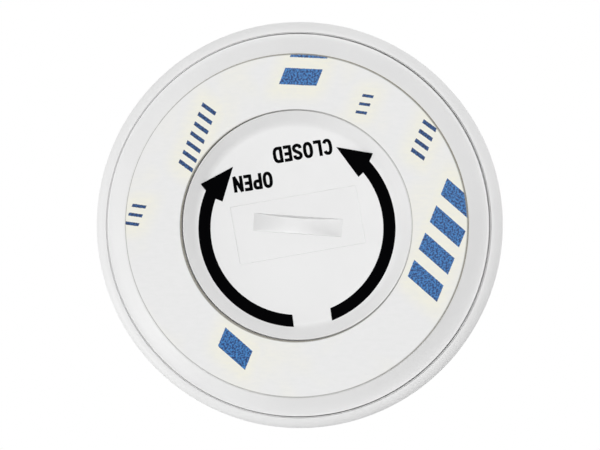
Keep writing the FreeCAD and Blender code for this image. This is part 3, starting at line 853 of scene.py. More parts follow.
@dataclass
class Shape:
    """A mesh under construction, in millimetres."""

    points: List[Point] = field(default_factory=list)
    faces: List[Face] = field(default_factory=list)

    def row(self, points: Sequence[Point]) -> List[int]:
        """Add points, and tell their numbers."""
        self.points += points
        return list(range(len(self.points) - len(points), len(self.points)))

    def loop(self, outline: Sequence[Flat], depth: Union[float, Sequence[float]]) -> List[int]:
        """Add an outline's points at one depth, or each at its own."""
        depths = [depth] * len(outline) if isinstance(depth, (int, float)) else depth
        return self.row([(x, y, z) for (x, z), y in zip(outline, depths)])

    def bridge(self, *loops: Sequence[int]) -> None:
        """Join each loop to the next with faces.

        Args:
            loops: The loops in order. One of a single point makes a fan.
        """
        for low, high in zip(loops, loops[1:]):
            for index in range(max(len(low), len(high))):
                ends = ((low, index), (high, index), (high, index + 1), (low, index + 1))
                face = list(dict.fromkeys(loop[number % len(loop)] for loop, number in ends))
                if len(face) > 2:
                    self.faces.append(face)

    def capped(self, loops: Sequence[Sequence[int]]) -> None:
        """Join loops in a row and close both ends."""
        self.bridge(*loops)
        self.faces += [list(loops[0]), list(loops[-1])]

    def turned(
        self, profile: Sequence[Flat], closed: bool = True, centre: Flat = (0.0, 0.0), count: int = SEGMENTS
    ) -> List[List[int]]:
        """Turn a profile about an axis.

        Args:
            profile: Its radii and depths.
            closed: Whether its end is joined to its start.
            centre: The axis's place.
            count: How many points a ring has. A ring on the axis is one point.

        Returns:
            The rings' points.
        """
        rings = []
        for radius, depth in profile:
            turns = range(count if radius > ON_AXIS else 1)
            places = [polar(radius, index * 360 / count) for index in turns]
            rings.append(self.loop([(centre[0] + x, centre[1] + z) for x, z in places], depth))
        self.bridge(*rings, *(rings[:1] if closed else []))
        return rings

    def sector(self, section: Sequence[Flat], middle: float, span: float) -> None:
        """Add a closed stretch of a turned section.

        Args:
            section: The section's radii and depths.
            middle: The angle of the stretch's middle.
            span: The angle that it covers.
        """
        steps = max(round(SEGMENTS * span / 360), 2)
        depths = [depth for _, depth in section]
        angles = [middle + span * (index / steps - 0.5) for index in range(steps + 1)]
        self.capped([self.loop([polar(radius, angle) for radius, _ in section], depths) for angle in angles])

    def bar(self, section: Sequence[Flat], angle: float, width: float) -> None:
        """Add a closed straight bar that runs out along a radius.

        Args:
            section: The section's distances from the axis and depths.
            angle: The radius that it follows.
            width: Its width.
        """
        depths = [depth for _, depth in section]
        sides = [[(reach, aside) for reach, _ in section] for aside in (-width / 2, width / 2)]
        self.capped([self.loop(swung(side, angle), depths) for side in sides])

    def filled(self, outer: Sequence[int], inner: Sequence[int]) -> None:
        """Fill the flat region between two loops.

        Args:
            outer: The loop round it.
            inner: The loop of its hole.
        """
        order = list(outer) + list(inner)
        flat = [Vector(self.points[number][::2]) for number in order]
        edge, hole = flat[:len(outer)], flat[len(outer):]
        _, faces, origins = divided(
            [edge, hole], [], lambda spot: within(spot, edge) and not within(spot, hole)
        )
        self.faces += [[order[origins[corner][0]] for corner in face] for face in faces]

    def mesh(self, name: str) -> bpy.types.Object:
        """Make a smooth object in metres, with its faces turned outwards.

        Args:
            name: Its name.

        Returns:
            The object.
        """
        data = bpy.data.meshes.new(name)
        data.from_pydata([tuple(value * MM for value in point) for point in self.points], [], self.faces)
        work = bmesh.new()
        work.from_mesh(data)
        bmesh.ops.remove_doubles(work, verts=work.verts, dist=WELD)
        bmesh.ops.recalc_face_normals(work, faces=work.faces)
        work.to_mesh(data)
        work.free()
        data.shade_smooth()
        made = bpy.data.objects.new(name, data)
        bpy.context.scene.collection.objects.link(made)
        return made


def within(place: Vector, outline: Sequence[Vector]) -> bool:
    """Tell whether a flat place lies inside an outline.

    Args:
        place: The place.
        outline: The outline's places in order.

    Returns:
        Whether it lies inside.
    """
    inside = False
    for before, here in zip([*outline[-1:], *outline], outline):
        if (here.y > place.y) != (before.y > place.y):
            if place.x < (before.x - here.x) * (place.y - here.y) / (before.y - here.y) + here.x:
                inside = not inside
    return inside


def divided(
    outlines: Sequence[Sequence[Vector]], loose: Sequence[Vector], kept: Callable[[Vector], bool]
) -> Tuple[List[Vector], List[Face], List[Face]]:
    """Divide a flat figure into triangles.

    Args:
        outlines: The closed outlines that the triangles' edges follow.
        loose: More places for corners.
        kept: Whether the figure covers a place.

    Returns:
        The corners' places, the triangles, and for each corner the places given that lie there.
    """
    places = [place for outline in outlines for place in outline]
    edges = []
    first = 0
    for outline in outlines:
        count = len(outline)
        edges += [(first + index, first + (index + 1) % count) for index in range(count)]
        first += count
    spots, _, faces, origins, _, _ = delaunay_2d_cdt(places + list(loose), edges, [], 0, SAME_PLACE)
    covered = [face for face in faces if kept((spots[face[0]] + spots[face[1]] + spots[face[2]]) / 3)]
    return spots, covered, origins


def rounded_rectangle(
    length: float, width: float, corner: float, grow: float = 0.0, steps: int = 8
) -> List[Flat]:
    """The outline of a rectangle with round corners.

    Args:
        length: Its size across.
        width: Its size upwards.
        corner: The radius of its corners.
        grow: How far the outline is moved outwards.
        steps: How many pieces each corner has.

    Returns:
        The outline's points, anticlockwise.
    """
    half_length = length / 2 - corner
    half_width = width / 2 - corner
    radius = max(corner + grow, LEAST_CORNER)
    points = []
    for turn, (side, top) in enumerate(((1, 1), (-1, 1), (-1, -1), (1, -1))):
        for index in range(steps + 1):
            x, z = polar(radius, turn * 90 + index * 90 / steps)
            points.append((side * half_length + x, top * half_width + z))
    return points


def swung(points: Sequence[Flat], angle: float) -> List[Flat]:
    """Turn flat places about the axis.

    Args:
        points: The places.
        angle: The turn in degrees.

    Returns:
        The turned places.
    """
    turn = math.radians(angle)
    across, up = math.cos(turn), math.sin(turn)
    return [(x * across - z * up, x * up + z * across) for x, z in points]


def worked(
    piece: bpy.types.Object, added: bpy.types.Object, cutters: Sequence[bpy.types.Object], sharp: float
) -> bpy.types.Object:
    """Join a body to a piece, and then cut others out of it.

    Args:
        piece: The piece.
        added: The body that is joined to it.
        cutters: The bodies that are cut out of it.
        sharp: The angle in degrees from which its edges are sharp.

    Returns:
        The piece. The other bodies are gone.
    """
    tools = [(added, "UNION")] + [(cutter, "DIFFERENCE") for cutter in cutters]
    for tool, operation in tools:
        change = piece.modifiers.new("change", "BOOLEAN")
        change.object = tool
        change.operation = operation
        change.solver = "EXACT"
    graph = bpy.context.evaluated_depsgraph_get()
    piece.data = bpy.data.meshes.new_from_object(piece.evaluated_get(graph))
    piece.modifiers.clear()
    for tool, _ in tools:
        bpy.data.objects.remove(tool)
    piece.data.set_sharp_from_angle(angle=math.radians(sharp))
    return piece


def shifted(piece: bpy.types.Object, play: Flat) -> None:
    """Move a piece's points sideways by the play that it has in its seat.

    Args:
        piece: The piece.
        play: How far to the right and up it moves.
    """
    for vertex in piece.data.vertices:
        vertex.co.x += play[0] * MM
        vertex.co.z += play[1] * MM


def dressed(piece: bpy.types.Object, finish: Finish, body: str, slot: str, *nodes: str) -> bpy.types.Object:
    """Give a piece its finish and its body, and hide the nodes that it stands for.

    Args:
        piece: The piece.
        finish: What it is made of.
        body: The body that it rides on.
        slot: The record's slot that it takes its finish from. It is not used.
        nodes: The nodes that it replaces.

    Returns:
        The piece.
    """
    piece.data.materials.clear()
    piece.data.materials.append(finish.material())
    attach(piece, body)
    if nodes:
        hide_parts(*nodes)
    log.info("%s rides on %s, %d faces", piece.name, body, len(piece.data.polygons))
    return piece


# Front shell
@dataclass
class FrontShell:
    """The cup-shaped front of the case with its vents, pin hole and lamp hole."""

    mouth_radius: float = 28.30
    outer_radius: float = 30.0
    inner_radius: float = 27.80
    seam_depth: float = 2.20
    seat_depth: float = 3.00
    inner_depth: float = 15.01
    front_depth: float = 16.81
    rim_round: float = 1.60
    mouth_round: float = 0.09
    front_round: float = 3.60
    inner_round: float = 1.20
    vent_angle: float = 83.4
    vent_depths: Tuple[float, ...] = (3.60, 5.10, 6.60, 8.10)
    vent_length: float = 2.70
    vent_width: float = 0.80
    pin_angle: float = 45.4
    pin_depth: float = 8.71
    pin_radius: float = 0.65
    lamp_angle: float = 263.4
    lamp_place: float = 16.5
    lamp_radius: float = 1.05
    lamp_steps: int = 12
    flare: float = 0.08
    cut_margin: float = 1.0
    round_steps: int = 12
    sharp_angle: float = 35.0
    play: Flat = (0.09, 0.0)
    relief_depth: float = 4.40
    relief_radius: float = 28.05
    catch_span: float = 14.6
    catch: Tuple[Flat, ...] = ((28.0, 4.1), (27.1, 5.0), (27.1, 6.0), (28.0, 6.0))
    post_angles: Tuple[float, ...] = (30.0, 150.0, 270.0)
    post_place: float = 22.5
    post: Tuple[Flat, ...] = (
        (0.0, 15.2), (2.45, 15.2), (2.45, 11.3), (2.36, 11.21),
        (1.04, 11.21), (0.95, 11.3), (0.95, 14.6), (0.0, 14.6),
    )
    finish: Finish = Moulded("shell_white", "EDEDED", 0.48, 0.17, 0.005)

    def profile(self) -> List[Flat]:
        """Work out the section of the wall, to be turned about the axis.

        Returns:
            Its radii and depths.
        """
        return soften([
            Corner(self.mouth_radius, self.seam_depth, self.mouth_round),
            Corner(self.outer_radius, self.seam_depth, self.rim_round),
            Corner(self.outer_radius, self.front_depth, self.front_round),
            Corner(0.0, self.front_depth),
            Corner(0.0, self.inner_depth),
            Corner(self.inner_radius, self.inner_depth, self.inner_round),
            Corner(self.inner_radius, self.seat_depth),
            Corner(self.relief_radius, self.seat_depth),
            Corner(self.relief_radius, self.relief_depth),
            Corner(self.mouth_radius, self.relief_depth),
        ], self.round_steps)

    def cutter(
        self, sizes: Tuple[float, ...], wall: Flat, lay: Callable[[Flat, float], Point], steps: int = 8
    ) -> bpy.types.Object:
        """Make a cutter that goes out through a wall and flares at its outer surface.

        Args:
            sizes: The hole's length, width and corner radius.
            wall: How far out the wall's inner and outer surfaces lie.
            lay: What turns a place on the hole's outline and a way out into a point.
            steps: How many pieces each corner has.

        Returns:
            The cutter.
        """
        inner, outer = wall
        shape = Shape()
        loops = []
        for out in (inner - self.cut_margin, outer - self.flare, outer + self.cut_margin):
            grow = self.flare + self.cut_margin if out > outer else 0.0
            outline = rounded_rectangle(*sizes, grow, steps)
            loops.append(shape.row([lay(spot, out) for spot in outline]))
        shape.capped(loops)
        return shape.mesh("cutter")

    def side_cutter(self, sizes: Tuple[float, ...], angle: float, depth: float) -> bpy.types.Object:
        """Make the cutter of a hole in the side wall.

        Args:
            sizes: The hole's length, width and corner radius.
            angle: Its place round the case.
            depth: Its depth.

        Returns:
            The cutter.
        """
        def lay(spot: Flat, out: float) -> Point:
            """Put the outline's length round the case and its width along the axis."""
            x, z = swung([(out, spot[0])], angle)[0]
            return x, depth + spot[1], z

        return self.cutter(sizes, (self.inner_radius, self.outer_radius), lay)

    def lamp_cutter(self) -> bpy.types.Object:
        """Make the cutter of the lamp hole in the front face.

        Returns:
            The cutter.
        """
        x, z = polar(self.lamp_place, self.lamp_angle)
        sizes = (2 * self.lamp_radius, 2 * self.lamp_radius, self.lamp_radius)

        def lay(spot: Flat, out: float) -> Point:
            """Put the outline round the lamp, square to the axis."""
            return x + spot[0], out, z + spot[1]

        return self.cutter(sizes, (self.inner_depth, self.front_depth), lay, self.lamp_steps)

    def inside(self) -> bpy.types.Object:
        """Make the screw posts and the catches inside the shell.

        Returns:
            All of them.
        """
        shape = Shape()
        for angle in HOOK_ANGLES:
            shape.sector(self.catch, angle, self.catch_span)
        for angle in self.post_angles:
            shape.turned(self.post, False, polar(self.post_place, angle), POST_SEGMENTS)
        return shape.mesh("inside")

    def dress(self) -> None:
        """Turn the wall, add what stands inside it, cut its holes and put it in its node's place."""
        shape = Shape()
        shape.turned(self.profile())
        vent = (self.vent_length, self.vent_width, self.vent_width / 2)
        cutters = [self.side_cutter(vent, self.vent_angle, depth) for depth in self.vent_depths]
        pin = (2 * self.pin_radius, 2 * self.pin_radius, self.pin_radius)
        cutters += [self.side_cutter(pin, self.pin_angle, self.pin_depth), self.lamp_cutter()]
        shell = worked(shape.mesh("front_shell_skin"), self.inside(), cutters, self.sharp_angle)
        shifted(shell, self.play)
        dressed(shell, self.finish, "housing", "shell_plastic", "front_shell")


# Rear cover
@dataclass
class RearCover:
    """The back of the case: a flat land for the tape, a bevelled edge and the door hole."""

    hole_radius: float = 17.0
    land_radius: float = 25.40
    edge_radius: float = 28.19
    ledge_radius: float = 15.70
    boss_radius: float = 18.50
    back_depth: float = 0.76
    seam_depth: float = 2.20
    seat_depth: float = 3.00
    ledge_depth: float = 2.41
    ledge_under: float = 3.51
    edge_round: float = 0.07
    bevel_steps: int = 24
    bevel_hold: float = 3.0
    hook_width: float = 5.0
    hook: Tuple[Flat, ...] = (
        (25.7, 2.8), (26.7, 2.8), (26.7, 6.1), (27.4, 6.1), (27.45, 6.15), (27.42, 6.25),
        (26.75, 7.55), (26.65, 7.6), (25.8, 7.6), (25.7, 7.5),
    )
    rib_count: int = 8
    rib_width: float = 0.9
    rib: Tuple[Flat, ...] = ((18.3, 2.8), (27.65, 2.8), (27.65, 4.0), (27.55, 4.1), (18.3, 4.1))
    door_turn: float = 25.0
    gate_span: float = 21.0
    gate: Tuple[Flat, ...] = ((14.7, 2.31), (16.78, 2.31), (16.78, 5.7), (14.7, 5.7))
    stop_span: float = 4.0
    stop: Tuple[Flat, ...] = (
        (15.71, 3.3), (16.9, 3.3), (16.9, 4.6), (16.8, 4.7), (15.81, 4.7), (15.71, 4.6),
    )
    sharp_angle: float = 50.0
    finish: Finish = Moulded("cover_white", "EDEDED", 0.45, 0.15, 0.004)

    def profile(self) -> List[Flat]:
        """Work out the section of the cover, to be turned about the axis.

        Returns:
            Its radii and depths.
        """
        run = self.edge_radius - self.edge_round / 2 - self.land_radius
        drop = self.seam_depth - self.back_depth
        hold = self.bevel_hold
        bevel = []
        for index in range(1, self.bevel_steps + 1):
            part = index / self.bevel_steps
            fall = (part - part ** (hold + 1) / (hold + 1)) * (hold + 1) / hold
            bevel.append((self.land_radius + run * part, self.back_depth + drop * fall))
        start = soften([
            Corner(self.hole_radius, self.ledge_depth),
            Corner(self.hole_radius, self.back_depth, self.edge_round),
            Corner(self.land_radius, self.back_depth),
        ])
        return start + bevel + [
            (self.edge_radius, self.seam_depth + self.edge_round),
            (self.edge_radius, self.seat_depth),
            (self.boss_radius, self.seat_depth),
            (self.boss_radius, self.ledge_under),
            (self.ledge_radius, self.ledge_under),
            (self.ledge_radius, self.ledge_depth),
        ]

    def inside(self) -> bpy.types.Object:
        """Make the snap hooks, the ribs and the door's stops inside the cover.

        Returns:
            All of them.
        """
        shape = Shape()
        for angle in HOOK_ANGLES:
            shape.bar(self.hook, angle, self.hook_width)
        for index in range(self.rib_count):
            shape.bar(self.rib, index * 360 / self.rib_count, self.rib_width)
        beyond = (self.gate_span + self.stop_span) / 2
        for angle in LUG_ANGLES:
            shape.sector(self.stop, angle + beyond, self.stop_span)
            shape.sector(self.stop, angle - self.door_turn - beyond, self.stop_span)
        return shape.mesh("inside")

    def gates(self) -> bpy.types.Object:
        """Make the cutter of the three gaps in the ledge that the door's lugs pass.

        Returns:
            The cutter.
        """
        shape = Shape()
        for angle in LUG_ANGLES:
            shape.sector(self.gate, angle - self.door_turn, self.gate_span)
        return shape.mesh("gates")

    def dress(self) -> None:
        """Build the cover and put it in the place of its node."""
        shape = Shape()
        shape.turned(self.profile())
        skin = shape.mesh("rear_cover_skin")
        cover = worked(skin, self.inside(), [self.gates()], self.sharp_angle)
        dressed(cover, self.finish, "housing", "cover_plastic", "rear_cover")


# Battery door
@dataclass
class BatteryDoor:
    """The dished round door with its coin slot and its shallow label field."""

    radius: float = 16.91
    rim: float = 0.14
    edge_round: float = 0.08
    face_depth: float = 0.81
    floor_depth: float = 2.01
    floor_radius: float = 14.40
    blend_run: float = 1.0
    blend_rise: float = 0.28
    play: Flat = (0.042, 0.034)
    flange_depth: float = 2.31
    inner_depth: float = 3.41
    skirt_depth: float = 4.61
    skirt_outer: float = 15.50
    skirt_inner: float = 14.10
    dish_steps: int = 10
    field_length: float = 18.8
    field_width: float = 8.6
    field_depth: float = 0.08
    field_lean: float = 0.75
    field_corner: float = 0.25
    field_angle: float = 10.0
    field_step: Tuple[Flat, ...] = (
        (0.14, 0.0), (0.04, 0.0), (0.015, 0.008), (0.0, 0.023), (-0.01, 0.048), (-0.02, 0.070),
    )
    field_flat: Tuple[float, ...] = (-0.05, -0.15)
    slot_length: float = 13.1
    slot_width: float = 2.6
    slot_depth: float = 1.50
    slot_angle: float = -4.0
    slot_round: float = 0.05
    slot_foot: float = 0.09
    slot_corner: float = 0.10
    slot_draft: float = 0.26
    slot_steps: int = 72
    slot_hold: float = 0.08
    lip_share: float = 0.4
    lip_steps: int = 4
    foot_steps: int = 6
    boss_width: float = 4.2
    boss_coin: float = 15.5
    boss_depth: float = 4.11
    boss_round: float = 0.15
    boss_ring: float = 6.5
    lug_span: float = 20.0
    lug: Tuple[Flat, ...] = (
        (15.3, 3.61), (16.65, 3.61), (16.7, 3.66), (16.7, 4.21), (16.31, 4.6), (15.3, 4.6),
    )
    rib_count: int = 4
    rib_width: float = 1.0
    rib: Tuple[Flat, ...] = ((2.3, 3.2), (14.3, 3.2), (14.3, 4.1), (2.3, 4.1))
    skirt_round: float = 0.2
    floor_hold: float = 0.2
    sharp_angle: float = 60.0
    finish: Finish = Moulded("door_white", "ECECEC", 0.46, 0.14, 0.004)

    def dish(self) -> List[Flat]:
        """Work out the face's line from the floor's edge up the dish wall to the rim.

        Returns:
            Its radii and depths.
        """
        floor_edge = (self.floor_radius, self.floor_depth)
        blend_end = (self.floor_radius + self.blend_run, self.floor_depth - self.blend_rise)
        rim_edge = (self.radius - self.rim, self.face_depth)
        line = [floor_edge] + swept(floor_edge, blend_end, self.dish_steps)
        for index in range(1, self.dish_steps + 1):
            part = index / self.dish_steps
            line.append(tuple(low + (high - low) * part for low, high in zip(blend_end, rim_edge)))
        return line

    def face_at(self, radius: float) -> float:
        """Find the depth of the door's face.

        Args:
            radius: The distance from the axis.

        Returns:
            The depth of the floor, the dish wall or the rim there.
        """
        line = self.dish()
        if radius <= self.floor_radius:
            return self.floor_depth
        for (low, low_depth), (high, high_depth) in zip(line, line[1:]):
            if radius <= high:
                return low_depth + (high_depth - low_depth) * (radius - low) / (high - low)
        return self.face_depth

    def body(self, shape: Shape) -> Tuple[List[int], List[int]]:
        """Turn everything but the middle of the floor.

        Args:
            shape: The mesh under construction.

        Returns:
            The loops at which the turned part ends, on the floor and on the inner face.
        """
        outside = soften([
            Corner(self.radius - self.rim, self.face_depth),
            Corner(self.radius, self.face_depth, self.edge_round),
            Corner(self.radius, self.flange_depth),
            Corner(self.skirt_outer, self.flange_depth),
            Corner(self.skirt_outer, self.skirt_depth, self.skirt_round),
            Corner(self.skirt_inner, self.skirt_depth, self.skirt_round),
            Corner(self.skirt_inner, self.inner_depth),
            Corner(self.boss_ring, self.inner_depth),
        ])
        held = (self.floor_radius - self.floor_hold, self.floor_depth)
        rings = shape.turned([held] + self.dish()[:-1] + outside, False)
        return rings[0], rings[-1]

    def slot_side(self, bottom: float, draft: float, foot: float) -> List[Flat]:
        """One half of the slot's section, from its lip down to the start of its floor.

        Args:
            bottom: The slot's depth there.
            draft: How far the wall leans in over the full depth of the slot.
            foot: The round at the wall's foot.

        Returns:
            Places across and depths below the field.
        """
        half = self.slot_width / 2
        lip = min(self.slot_round, bottom * self.lip_share)
        foot = foot * bottom / self.slot_depth
        lean = draft * bottom / self.slot_depth
        side = [(half + self.slot_round, 0.0)]
        for index in range(self.lip_steps + 1):
            turn = math.pi / 2 * index / self.lip_steps
            side.append((half + lip - lip * math.sin(turn), lip - lip * math.cos(turn)))
        for index in range(self.foot_steps + 1):
            turn = math.pi / 2 * index / self.foot_steps
            side.append((half - lean - foot + foot * math.cos(turn), bottom - foot + foot * math.sin(turn)))
        return side

    def slot_section(self, along: float) -> List[Flat]:
        """The slot's section across, at a place along it.

        Args:
            along: The distance from the slot's middle.

        Returns:
            Places across and depths, from the lower long edge to the upper.
        """
        coin = ((self.slot_length / 2) ** 2 + self.slot_depth ** 2) / (2 * self.slot_depth)
        bottom = max(math.sqrt(coin ** 2 - along ** 2) - coin + self.slot_depth, 0.0)
        lower = [(-place, depth) for place, depth in self.slot_side(bottom, 0.0, self.slot_foot)]
        upper = self.slot_side(bottom, self.slot_draft, self.slot_corner)
        line = lower + [(0.0, bottom)] + list(reversed(upper))
        return [(place, self.floor_depth + self.field_depth + depth) for place, depth in line]

    def boss_section(self, along: float) -> List[Flat]:
        """The section across of the thicker stretch under the slot.

        Args:
            along: The distance from the slot's middle.

        Returns:
            Places across and depths.
        """
        bulge = math.sqrt(self.boss_coin ** 2 - along ** 2) - self.boss_coin
        fall = max(bulge + self.boss_depth - self.inner_depth, 0.0)
        corner = min(self.boss_round, fall * self.lip_share)
        half = self.boss_width / 2
        side = [(half, 0.0), (half, fall - corner), (half - corner, fall)]
        line = [(-place, depth) for place, depth in side] + list(reversed(side))
        return [(place, self.inner_depth + depth) for place, depth in line]

    def trough(
        self, shape: Shape, half_length: float, section: Callable[[float], List[Flat]]
    ) -> List[int]:
        """Add a surface that follows a coin's edge along the slot.

        Args:
            shape: The mesh under construction.
            half_length: Half its length.
            section: What gives the section at a place along it.

        Returns:
            The loop of its rim.
        """
        rows = []
        for index in range(self.slot_steps + 1):
            along = -half_length * math.cos(math.pi * index / self.slot_steps)
            line = section(along)
            places = swung([(along, place) for place, _ in line], self.slot_angle)
            rows.append(shape.loop(places, [depth for _, depth in line]))
        for low, high in zip(rows, rows[1:]):
            for index in range(len(low) - 1):
                shape.faces.append([low[index], high[index], high[index + 1], low[index + 1]])
        near, far = rows[0][1:-1], rows[-1][1:-1]
        return [row[0] for row in rows] + far + [row[-1] for row in reversed(rows)] + near[::-1]

    def slot(self, shape: Shape) -> List[int]:
        """Add the coin slot's surface.

        Args:
            shape: The mesh under construction.

        Returns:
            A loop on the floor of the field, a little outside the slot.
        """
        half_length = self.slot_length / 2
        edge = self.trough(shape, half_length, self.slot_section)
        longer = (half_length + self.slot_hold) / half_length
        half_width = self.slot_width / 2 + self.slot_round
        wider = (half_width + self.slot_hold) / half_width
        level = swung([shape.points[number][::2] for number in edge], -self.slot_angle)
        around = swung([(x * longer, z * wider) for x, z in level], self.slot_angle)
        held = shape.loop(around, self.floor_depth + self.field_depth)
        shape.bridge(edge, held)
        return held

    def label_field(self, shape: Shape) -> Tuple[List[int], List[int]]:
        """Add the low step round the label field.

        Args:
            shape: The mesh under construction.

        Returns:
            The loops outside and inside the step.
        """
        loops = []
        for grow, drop in self.field_step + tuple((grow, self.field_depth) for grow in self.field_flat):
            outline = rounded_rectangle(self.field_length, self.field_width, self.field_corner, grow)
            depths = []
            for x, z in outline:
                lean = self.field_lean * (x / self.field_length + z / self.field_width)
                depths.append(self.floor_depth + drop * (1 - lean))
            loops.append(shape.loop(swung(outline, self.field_angle), depths))
        shape.bridge(*loops)
        return loops[0], loops[-1]

    def inside(self) -> bpy.types.Object:
        """Make the bayonet lugs on the skirt and the ribs that hold the cell down.

        Returns:
            All of them.
        """
        shape = Shape()
        for angle in LUG_ANGLES:
            shape.sector(self.lug, angle, self.lug_span)
        for index in range(self.rib_count):
            shape.bar(self.rib, self.slot_angle + (index + 0.5) * 360 / self.rib_count, self.rib_width)
        return shape.mesh("inside")

    def dress(self) -> None:
        """Build the door and put it in the place of its node."""
        shape = Shape()
        floor_edge, inner_edge = self.body(shape)
        outside, inside = self.label_field(shape)
        slot_edge = self.slot(shape)
        shape.filled(floor_edge, outside)
        shape.filled(inside, slot_edge)
        fall = self.boss_depth - self.inner_depth
        boss_reach = math.sqrt(self.boss_coin ** 2 - (self.boss_coin - fall) ** 2)
        shape.filled(inner_edge, self.trough(shape, boss_reach, self.boss_section))
        door = worked(shape.mesh("battery_door_skin"), self.inside(), [], self.sharp_angle)
        shifted(door, self.play)
        dressed(door, self.finish, "door", "door_plastic", "battery_door")


# Print on the door
@dataclass(frozen=True)
class Arrow:
    """A curved arrow: a band round the print's centre that ends in a head."""

    name: str
    tail_inner: float
    tail_outer: float
    neck_outer: Flat
    barb_outer: Flat
    tip: Flat
    barb_inner: Flat
    neck_inner: Flat


@dataclass(frozen=True)
class Word:
    """A word printed upside down on the door."""

    name: str
    letters: str
    centre: Flat
    turn: float


@dataclass(frozen=True)
class Letter:
    """A letter: its width and the middle lines of its strokes, about its middle."""

    width: float
    strokes: Tuple[Tuple[Flat, ...], ...]


def bowed(
    half_width: float, half_height: float, start: float, end: float, centre: Flat = (0.0, 0.0)
) -> Tuple[Flat, ...]:
    """Find points along a squarish oval.

    Args:
        half_width: Half its width.
        half_height: Half its height.
        start: The first angle in degrees.
        end: The last angle.
        centre: Its middle.

    Returns:
        The points, in order.
    """
    points = []
    for index in range(BOW_STEPS + 1):
        across, up = polar(1.0, start + (end - start) * index / BOW_STEPS)
        x = math.copysign(abs(across) ** SQUARENESS, across) * half_width
        z = math.copysign(abs(up) ** SQUARENESS, up) * half_height
        points.append((centre[0] + x, centre[1] + z))
    return tuple(points)


def eased(knots: Sequence[Flat]) -> Tuple[Flat, ...]:
    """Find points along a smooth line.

    Args:
        knots: Places that it passes.

    Returns:
        The points.
    """
    points = []
    for index, (here, after) in enumerate(zip(knots, knots[1:])):
        before = knots[max(index - 1, 0)]
        beyond = knots[min(index + 2, len(knots) - 1)]
        for step in range(EASE_STEPS):
            t = step / EASE_STEPS
            spot = []
            # The cubic from b to c, with at each the slope between the knots beside it
            for a, b, c, d in zip(before, here, after, beyond):
                bend = 2 * b + (c - a) * t + (2 * a - 5 * b + 4 * c - d) * t * t
                spot.append((bend + (3 * b - a - 3 * c + d) * t ** 3) / 2)
            points.append(tuple(spot))
    return tuple(points) + (knots[-1],)


def ribbon(line: Sequence[Flat], width: float) -> List[Flat]:
    """The outline of a line drawn with a flat pen.

    Args:
        line: The line's points.
        width: The pen's width.

    Returns:
        The outline's points in order.
    """
    left, right = [], []
    last = len(line) - 1
    closed = math.dist(line[0], line[last]) < ON_AXIS
    for index, here in enumerate(line):
        joint = closed and index in (0, last)
        before = Vector(line[last - 1 if joint else max(index - 1, 0)])
        after = Vector(line[1 if joint else min(index + 1, last)])
        way = (after - before).normalized() * width / 2
        left.append((here[0] - way.y, here[1] + way.x))
        right.append((here[0] + way.y, here[1] - way.x))
    return left + right[::-1]


# Letters about their middles, and how far from there their tops, level strokes and sides lie
TOP = 1.18
BAR = 0.965
WIDE = 0.485
ALPHABET: Dict[str, Letter] = {
    "O": Letter(1.40, (bowed(WIDE, BAR, 0.0, 360.0),)),
    "P": Letter(1.29, (
        ((-0.43, -TOP), (-0.43, TOP)),
        ((-0.43, BAR), (0.05, BAR)) + bowed(0.38, 0.50, 90.0, -90.0, (0.05, 0.465)) + ((-0.43, -0.035),),
    )),
    "E": Letter(1.16, (
        ((-0.365, -TOP), (-0.365, TOP)),
        ((-0.365, BAR), (0.57, BAR)),
        ((-0.365, 0.05), (0.48, 0.05)),
        ((-0.365, -BAR), (0.58, -BAR)),
    )),
    "N": Letter(1.40, (
        ((-WIDE, -TOP), (-WIDE, TOP)),
        ((WIDE, -TOP), (WIDE, TOP)),
        ((-0.52, TOP), (0.52, -TOP)),
    )),
    "C": Letter(1.34, (bowed(0.465, BAR, 30.0, 330.0),)),
    "L": Letter(1.14, (((-0.355, -TOP), (-0.355, TOP)), ((-0.355, -BAR), (0.57, -BAR)))),
    "S": Letter(1.38, (eased((
        (0.45, 0.46), (0.40, 0.78), (0.02, BAR), (-0.38, 0.80), (-0.43, 0.46), (-0.20, 0.16),
        (0.22, -0.10), (0.47, -0.42), (0.40, -0.80), (0.0, -BAR), (-0.40, -0.80), (-0.47, -0.46),
    )),)),
    "D": Letter(1.40, (
        ((-WIDE, -TOP), (-WIDE, TOP)),
        ((-WIDE, BAR), (-0.05, BAR)) + bowed(0.535, BAR, 90.0, -90.0, (-0.05, 0.0)) + ((-WIDE, -BAR),),
    )),
}


